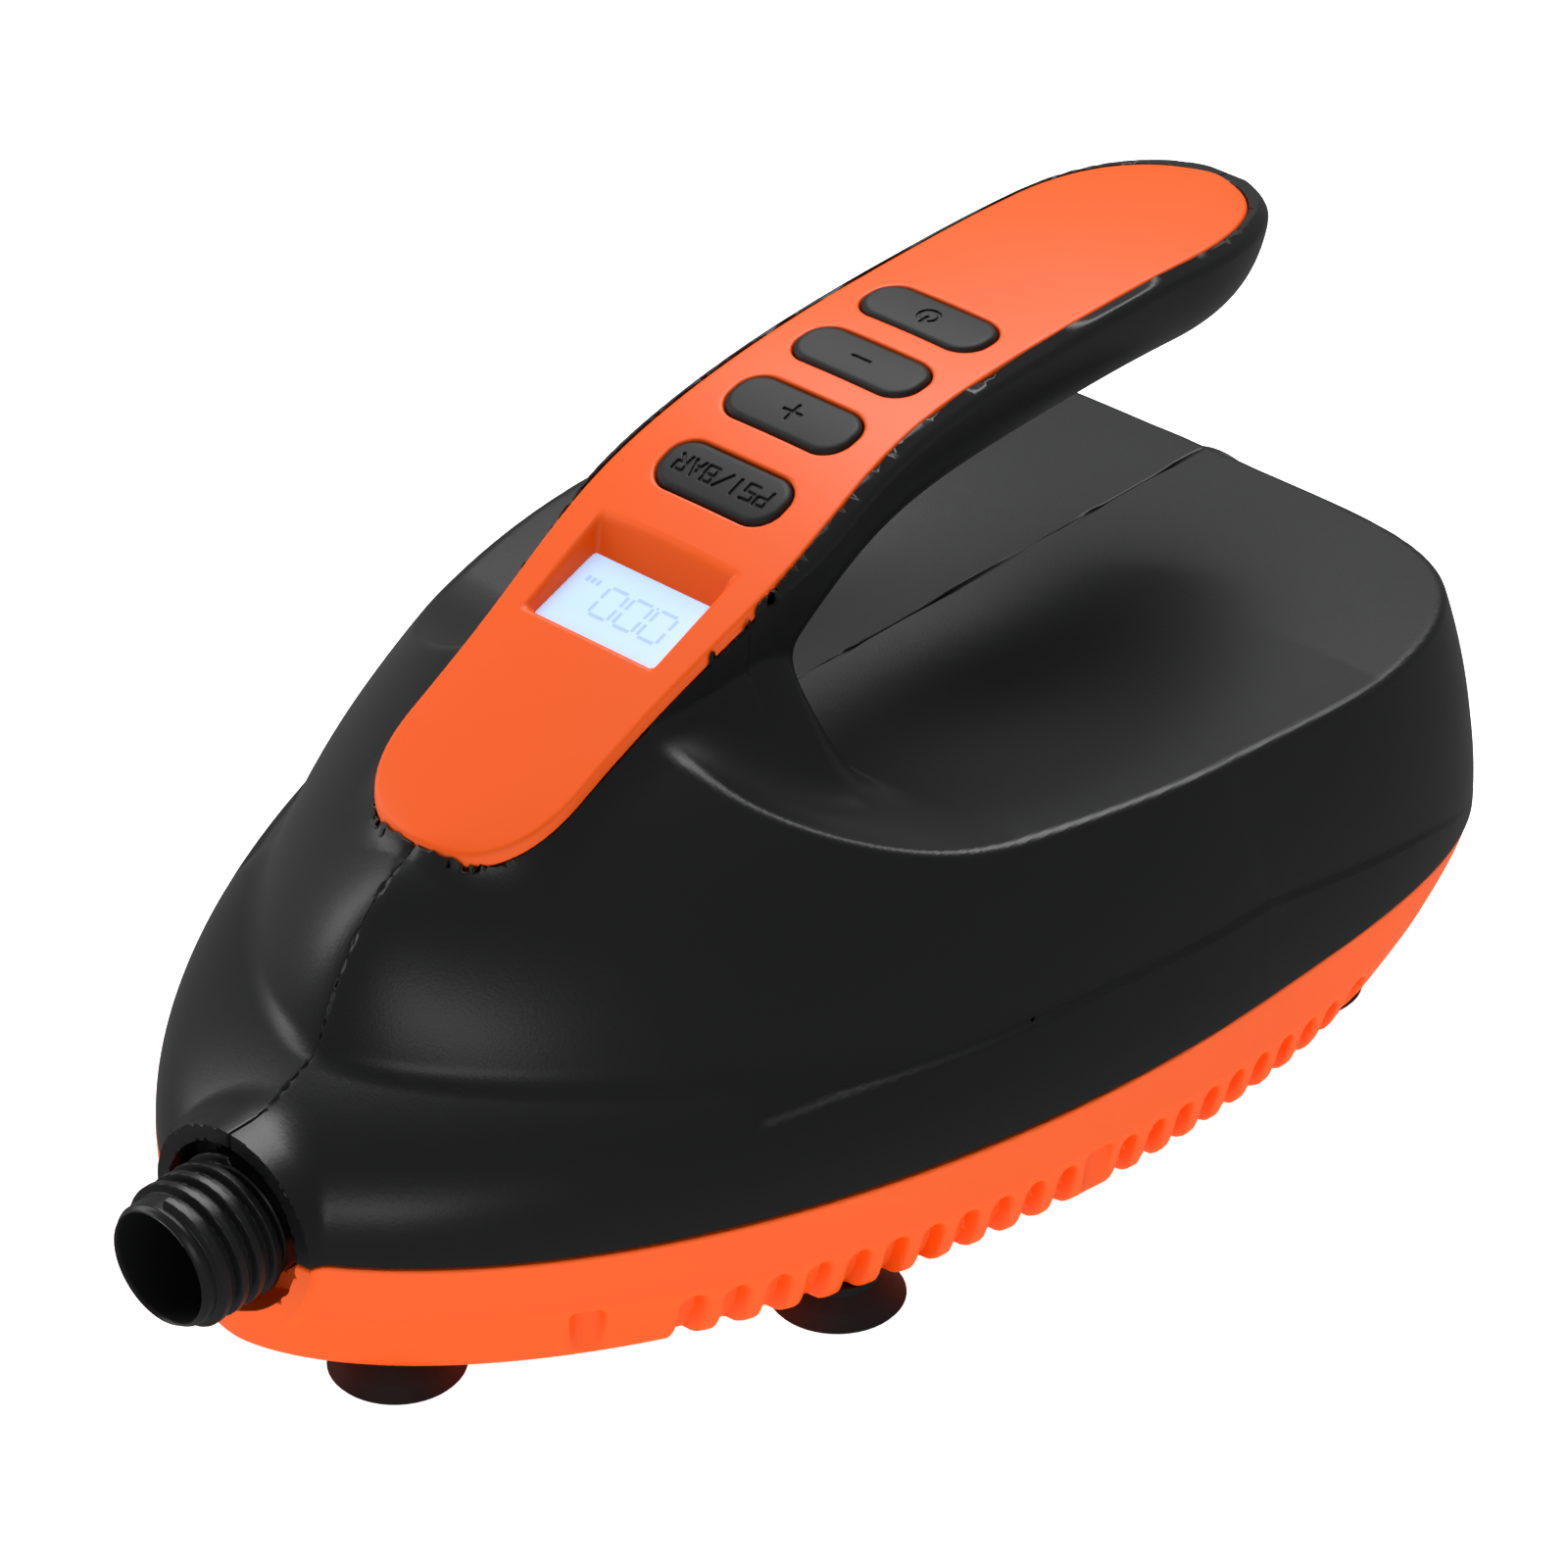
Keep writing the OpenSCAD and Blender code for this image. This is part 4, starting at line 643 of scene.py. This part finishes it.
def mark_dist(kind, a, b):
    """Plan distance to the engraved strokes of a key, a along the reading direction and b up."""
    if kind == "power":
        ang = np.arctan2(a, b)
        ring = np.where(np.abs(ang) > 0.7, np.abs(np.hypot(a, b) - 2.1),
                        np.hypot(np.abs(a) - 2.1 * math.sin(0.7), b - 2.1 * math.cos(0.7)))
        return np.minimum(ring, seg_dist(a, b, (0, 0.4), (0, 2.6)))
    if kind == "minus":
        return seg_dist(a, b, (-2.1, 0), (2.1, 0))
    if kind == "plus":
        return np.minimum(seg_dist(a, b, (-2.1, 0), (2.1, 0)), seg_dist(a, b, (0, -2.1), (0, 2.1)))
    d = np.full(np.shape(a), 99.0)
    for k, ch in enumerate("PSI/BAR"):
        for p0, q0, p1, q1 in MARKS[ch]:
            o = -11.4 + 3.4 * k
            d = np.minimum(d, seg_dist(a, b, (o + p0 * 2.3, (q0 - 1) * 1.9), (o + p1 * 2.3, (q1 - 1) * 1.9)))
    return d


def key_field(i, kind, x, y, z):
    """Key: a crowned pill with its mark engraved, a flange under the panel and a stem to its switch."""
    v, h = key_frame(i, y, z)
    half_l, half_w = S.button_len / 2, S.button_w / 2
    top = 0.56 + 0.35 * clamp01(1 - (v / half_w) ** 2) - 0.35
    cap = soft_max(pill(x, v, half_l, half_w), h - top, 1.6)
    f = np.maximum(cap, -3.2 - h)
    cut = np.maximum(mark_dist(kind, -x, -v) - 0.34, top - 0.45 - h)
    f = soft_max(f, -cut, 0.2)
    flange = np.maximum(pill(x, v, half_l + 1, half_w + 0.25), np.maximum(h + 2.65, -3.6 - h))
    stem = np.maximum(np.hypot(x, v) - 2.0, np.maximum(h + 3.0, -5.4 - h))
    return np.minimum(np.minimum(f, flange), stem)


def skin(name, field, lo, hi, step, flip=False):
    """Meshes a field and gives the mesh the field's own normals."""
    P, Q = net(field, lo, hi, step)
    inner = 0.68 * P[Q] + 0.32 * P[Q].mean(1, keepdims=True)
    N = unit(slope(field, inner.reshape(-1, 3), 0.1 * step)).reshape(-1, 4, 3)
    if flip:
        P, N = P * [-1, 1, 1], N[:, ::-1] * [-1, 1, 1]
        Q = Q[:, ::-1]
    return new_object(name, P, Q, N)


# Materials

def plain(name, color, rough, metallic=0.0, bump=0.0, scale=900.0, emit=0.0):
    """Plastic, rubber or metal: constants on the sockets, with fine noise in object space as a bump."""
    m = bpy.data.materials.new(name)
    m.use_nodes = True
    nt = m.node_tree
    b = nt.nodes["Principled BSDF"]
    b.inputs["Base Color"].default_value = (*color, 1)
    b.inputs["Roughness"].default_value = rough
    b.inputs["Metallic"].default_value = metallic
    b.inputs["Specular IOR Level"].default_value = 0.5 if metallic else 0.38
    if emit:
        b.inputs["Emission Color"].default_value = (*color, 1)
        b.inputs["Emission Strength"].default_value = emit
    if bump:
        tc = nt.nodes.new("ShaderNodeTexCoord")
        nz = nt.nodes.new("ShaderNodeTexNoise")
        nz.inputs["Scale"].default_value = scale
        nz.inputs["Detail"].default_value = 2.0
        bp = nt.nodes.new("ShaderNodeBump")
        bp.inputs["Strength"].default_value = bump
        bp.inputs["Distance"].default_value = 0.0002
        nt.links.new(tc.outputs["Object"], nz.inputs["Vector"])
        nt.links.new(nz.outputs["Fac"], bp.inputs["Height"])
        nt.links.new(bp.outputs["Normal"], b.inputs["Normal"])
    return m


# Colour, roughness, metallic, bump, noise scale and emission of each material slot.
LOOKS = {
    "black_shell": ((0.0075, 0.0078, 0.0085), 0.34, 0.0, 0.12, 1600.0, 0.0),
    "orange_body": ((1.0, 0.112, 0.001), 0.42, 0.0, 0.05, 1200.0, 0.0),
    "black_rubber": ((0.0085, 0.0085, 0.0090), 0.55, 0.0, 0.08, 1500.0, 0.0),
    "lens": ((0.45, 0.62, 0.92), 0.2, 0.0, 0.0, 1.0, 0.5),
    "light_guide": ((0.62, 0.74, 0.95), 0.4, 0.0, 0.0, 1.0, 0.3),
    "steel": ((0.55, 0.55, 0.57), 0.32, 1.0, 0.0, 1.0, 0.0),
    "alloy": ((0.62, 0.63, 0.65), 0.42, 1.0, 0.0, 1.0, 0.0),
    "brass": ((0.70, 0.50, 0.20), 0.30, 1.0, 0.0, 1.0, 0.0),
    "grey_plastic": ((0.10, 0.105, 0.11), 0.45, 0.0, 0.0, 1.0, 0.0),
    "white_plastic": ((0.70, 0.70, 0.67), 0.42, 0.0, 0.0, 1.0, 0.0),
    "board": ((0.012, 0.09, 0.035), 0.38, 0.0, 0.0, 1.0, 0.0),
}


def look(slot_name):
    """The material of a slot, made once."""
    m = bpy.data.materials.get("mat_" + slot_name)
    if m is None:
        m = plain("mat_" + slot_name, *LOOKS[slot_name])
    return m


def dress(ob, slot_name, body="housing", stands_for=()):
    """Gives a piece the material of its slot and its body, and hides the CAD nodes that it replaces."""
    ob.data.materials.clear()
    ob.data.materials.append(look(slot_name))
    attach(ob, body)
    if stands_for:
        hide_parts(*stands_for)


# Settings and operators

class InflatorSettings(bpy.types.PropertyGroup):
    shell_step: bpy.props.FloatProperty(
        name="Shell cell", description="Cell size of the shell mesh, in millimetres",
        default=1.18, min=0.8, max=4)
    tray_step: bpy.props.FloatProperty(
        name="Tray cell", description="Cell size of the tray mesh, in millimetres",
        default=1.2, min=0.8, max=4)
    panel_step: bpy.props.FloatProperty(
        name="Panel cell", description="Cell size of the panel mesh, in millimetres",
        default=0.6, min=0.4, max=2)
    key_step: bpy.props.FloatProperty(
        name="Key cell", description="Cell size of the key meshes, in millimetres",
        default=0.22, min=0.15, max=1)
    key_light: bpy.props.FloatProperty(
        name="Key light", description="Power of the large soft light above", default=38.0, unit="POWER")
    lens_mm: bpy.props.FloatProperty(
        name="Focal length", description="Focal length of the camera on a 36 mm sensor",
        default=153.2, min=20)


class InflatorBuilder:
    """What the operators share: execute calls build with the scene's settings."""
    bl_options = {"REGISTER", "UNDO"}

    def execute(self, context):
        self.build(context.scene.inflator)
        return {"FINISHED"}


class INFLATOR_OT_shells(InflatorBuilder, bpy.types.Operator):
    """Outer shell halves with deck, handle and collar"""
    bl_idname = "inflator.shells"
    bl_label = "Shell halves"

    def build(self, s):
        for name, flip in (("right_shell", False), ("left_shell", True)):
            ob = skin("skin_" + name, lambda x, y, z: shell_field(x, y, z, not flip),
                      (-0.9, -122.3, 32.1), (96.0, 166.2, 146.6), s.shell_step, flip)
            dress(ob, "black_shell", stands_for=(name,))


class INFLATOR_OT_tray(InflatorBuilder, bpy.types.Operator):
    """Base tray with vents, notches and nozzle cradle"""
    bl_idname = "inflator.tray"
    bl_label = "Base tray"

    def build(self, s):
        ob = skin("skin_base_tray", tray_field,
                  (-96.4, -127.5, 6.1), (96.4, 163.6, 34.2), s.tray_step)
        dress(ob, "orange_body", stands_for=("base_tray",))


class INFLATOR_OT_panel(InflatorBuilder, bpy.types.Operator):
    """Handle panel with display well and key openings"""
    bl_idname = "inflator.panel"
    bl_label = "Handle panel"

    def build(self, s):
        ob = skin("skin_handle_panel", panel_field,
                  (-26.3, -72.2, 86.0), (26.3, 160.2, 146.0), s.panel_step)
        dress(ob, "orange_body", stands_for=("handle_panel",))


KEYS = ("units", "plus", "minus", "power")


class INFLATOR_OT_keys(InflatorBuilder, bpy.types.Operator):
    """Four rubber keys with engraved marks"""
    bl_idname = "inflator.keys"
    bl_label = "Keys"

    def build(self, s):
        for i, kind in enumerate(KEYS):
            y0 = S.button_y0 + S.button_pitch * i
            z0 = float(top_z(np.array(y0)))
            ob = skin("skin_key_" + kind, lambda x, y, z: key_field(i, kind, x, y, z),
                      (-16.6, y0 - 9.5, z0 - 9.5), (16.6, y0 + 9.5, z0 + 5.0), s.key_step)
            dress(ob, "black_rubber", kind + "_key", ("button_" + kind,))


class INFLATOR_OT_nozzle(InflatorBuilder, bpy.types.Operator):
    """Hose nozzle with a helical thread"""
    bl_idname = "inflator.nozzle"
    bl_label = "Hose nozzle"

    def build(self, s):
        # Lathe grid: the radius follows a smooth crest whose place along the axis advances one pitch a turn.
        nu, pitch = 128, S.thread_pitch
        y = np.concatenate([np.linspace(S.mouth, -119.5, 150), [-116, -112, -105, -98, -92]])
        th = np.linspace(0, 2 * math.pi, nu, endpoint=False)[None, :]
        yy = y[:, None] + 0 * th
        u = (yy - S.thread_y - pitch * th / (2 * math.pi)) / pitch
        turn = np.abs(u - np.round(u)) * pitch
        on = ease((u + 0.5) / 0.35) * ease((3.9 - u) / 0.35)
        r = S.thread_root_r + S.thread_rise * on * ease((1.45 - turn) / 0.8)
        r = r - 0.9 * ease((-138.4 - yy) / 1.6)
        bore = S.nozzle_bore_r
        inside = ((-92, bore), (-116, bore), (S.mouth + 1, bore),
                  (S.mouth + 0.3, bore + 0.25), (S.mouth, bore + 0.5))
        ring = [np.stack([rr * np.sin(th[0]), np.full(nu, h), S.nozzle_z + rr * np.cos(th[0])], 1)
                for h, rr in list(zip(y, r)) + list(inside)]
        P = np.concatenate(ring)
        n = len(ring)
        i, j = np.meshgrid(np.arange(n), np.arange(nu), indexing="ij")
        k, m = (i + 1) % n, (j + 1) % nu
        Q = np.stack([i * nu + j, i * nu + m, k * nu + m, k * nu + j], -1).reshape(-1, 4)
        ob = new_object("skin_nozzle", P, Q)
        fix_normals(ob)
        dress(ob, "black_shell", stands_for=("nozzle",))


def fix_normals(ob, angle=40):
    """Turns faces outward and marks sharp edges by angle."""
    bm = bmesh.new()
    bm.from_mesh(ob.data)
    bmesh.ops.recalc_face_normals(bm, faces=bm.faces)
    bm.to_mesh(ob.data)
    bm.free()
    ob.data.set_sharp_from_angle(angle=math.radians(angle))


def glass_point(x, v, h):
    """Point at x across, v along and h above the display, in the body's own axes."""
    a = math.radians(S.glass_tilt)
    y = S.glass_y + v * math.cos(a) - h * math.sin(a)
    z = float(top_z(np.array(S.glass_y))) - S.glass_drop + v * math.sin(a) + h * math.cos(a)
    return x, y, z


def glass_box(name, boxes):
    """Closed boxes (x0, x1, v0, v1, h0, h1) square to the display, in one mesh."""
    sides = ((0, 2, 3, 1), (4, 5, 7, 6), (0, 1, 5, 4), (2, 6, 7, 3), (0, 4, 6, 2), (1, 3, 7, 5))
    P, Q = [], []
    for x0, x1, v0, v1, h0, h1 in boxes:
        o = len(P)
        P += [glass_point(x, v, h) for h in (h0, h1) for v in (v0, v1) for x in (x0, x1)]
        Q += [[o + k for k in side] for side in sides]
    ob = new_object(name, P, np.array(Q), smooth=False)
    fix_normals(ob)
    return ob


class INFLATOR_OT_display(InflatorBuilder, bpy.types.Operator):
    """Lit display face and its digits"""
    bl_idname = "inflator.display"
    bl_label = "Display"

    def build(self, s):
        w, l = S.glass_w / 2, S.glass_l / 2
        ob = glass_box("skin_display", [(-w, w, -l, l, -1.2, 0.0)])
        dress(ob, "lens", stands_for=("display_glass",))
        # Seven-segment zeros, a point and three level marks; t is half the width of a bar.
        a, b, t, high = 1.9, 3.6, 0.36, 0.03
        bars = []
        for cx in (8.2, 2.0, -4.2):
            bars += [(cx - a, cx + a, e * b - t, e * b + t, 0.0, high) for e in (-1, 1)]
            for e in (-1, 1):
                at = cx + e * (a + 0.5)
                bars += [(at - t, at + t, f * 1.85 - 1.35, f * 1.85 + 1.35, 0.0, high) for f in (-1, 1)]
        bars += [(4.85, 5.35, 3.4, 3.95, 0.0, high)]
        bars += [(-12.6 + k * 1.3, -11.8 + k * 1.3, 2.6, 4.0, 0.0, high) for k in range(3)]
        ob = glass_box("skin_digits", bars)
        ob.data.materials.append(plain("mat_digits", (0.33, 0.46, 0.74), 0.3, emit=0.45))
        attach(ob, "housing")


class INFLATOR_OT_nodes(InflatorBuilder, bpy.types.Operator):
    """Finishes of the CAD pieces that stay as they are"""
    bl_idname = "inflator.nodes"
    bl_label = "Inner pieces"

    def build(self, s):
        for part in frame["record"]["subparts"]:
            ob = NODES.get(part["node"])
            if ob is None or ob.hide_render:
                continue
            ob.data.materials.clear()
            ob.data.materials.append(look(part["material_slot"]))


def area(name, power_w, size, place, target):
    """A rectangular area light at a place, aimed at a target."""
    d = bpy.data.lights.new(name, "AREA")
    d.shape = "RECTANGLE"
    d.size, d.size_y = size
    d.energy = power_w
    ob = bpy.data.objects.new(name, d)
    ob.location = place
    ob.rotation_euler = (Vector(target) - Vector(place)).to_track_quat("-Z", "Y").to_euler()
    bpy.context.scene.collection.objects.link(ob)
    return ob


class INFLATOR_OT_stage(InflatorBuilder, bpy.types.Operator):
    """Floor, lights, world and camera"""
    bl_idname = "inflator.stage"
    bl_label = "Stage"

    def build(self, s):
        scene = bpy.context.scene
        me = bpy.data.meshes.new("floor")
        corner = ((-30, -30, 0), (30, -30, 0), (30, 30, 0), (-30, 30, 0))
        me.from_pydata(corner, [], [(0, 1, 2, 3)])
        floor = bpy.data.objects.new("floor", me)
        floor.location.z = -0.0002
        scene.collection.objects.link(floor)
        me.materials.append(plain("mat_floor", (0.96, 0.96, 0.96), 0.9, emit=1.0))
        floor.visible_glossy = False
        lights = [area("top_box", s.key_light, (1.6, 1.2), (-0.5, 0.9, 1.7), (0, 0, 0.08)),
                  area("left_box", s.key_light * 0.24, (0.5, 1.6), (-1.7, -0.6, 0.9), (0, 0, 0.08)),
                  area("front_box", s.key_light * 0.16, (1.2, 0.5), (0.9, -1.9, 0.9), (0, 0, 0.06))]
        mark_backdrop(floor, *lights)
        world = bpy.data.worlds.new("studio")
        scene.world = world
        world.use_nodes = True
        world.node_tree.nodes["Background"].inputs["Color"].default_value = (1, 1, 1, 1)
        world.node_tree.nodes["Background"].inputs["Strength"].default_value = 0.2
        scene.view_settings.view_transform = "Standard"
        cam = bpy.data.cameras.new("camera")
        cam.lens, cam.sensor_width = s.lens_mm, 36.0
        cam.dof.use_dof = False
        ob = bpy.data.objects.new("camera", cam)
        az, el, dist, aim = math.radians(42.0), math.radians(32.956), 1.3008, Vector((0, 0.01547, 0.05701))
        back = Vector((math.sin(az) * math.cos(el), -math.cos(az) * math.cos(el), math.sin(el)))
        ob.location = aim + back * dist
        ob.rotation_euler = back.to_track_quat("Z", "Y").to_euler()
        scene.collection.objects.link(ob)
        scene.camera = ob


OPERATORS = (INFLATOR_OT_shells, INFLATOR_OT_tray, INFLATOR_OT_panel, INFLATOR_OT_keys,
             INFLATOR_OT_nozzle, INFLATOR_OT_display, INFLATOR_OT_nodes, INFLATOR_OT_stage)


class INFLATOR_PT_panel(bpy.types.Panel):
    """Sizes and buttons in the sidebar"""
    bl_label = "Inflator"
    bl_idname = "INFLATOR_PT_panel"
    bl_space_type = "VIEW_3D"
    bl_region_type = "UI"
    bl_category = "Inflator"

    def draw(self, context):
        s = context.scene.inflator
        for p in ("shell_step", "tray_step", "panel_step", "key_step", "key_light", "lens_mm"):
            self.layout.prop(s, p)
        for op in OPERATORS:
            self.layout.operator(op.bl_idname)


CLASSES = (InflatorSettings,) + OPERATORS + (INFLATOR_PT_panel,)


def register():
    for c in CLASSES:
        bpy.utils.register_class(c)
    bpy.types.Scene.inflator = bpy.props.PointerProperty(type=InflatorSettings)


def unregister():
    del bpy.types.Scene.inflator
    for c in reversed(CLASSES):
        bpy.utils.unregister_class(c)


def corners():
    """The two corners of the visible pieces' box, in metres."""
    return [[float(c) for c in v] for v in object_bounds()]


def main():
    """Runs every operator in order."""
    register()
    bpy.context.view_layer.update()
    for op in OPERATORS:
        group, name = op.bl_idname.split(".")
        getattr(getattr(bpy.ops, group), name)()


if __name__ == "__main__":
    main()
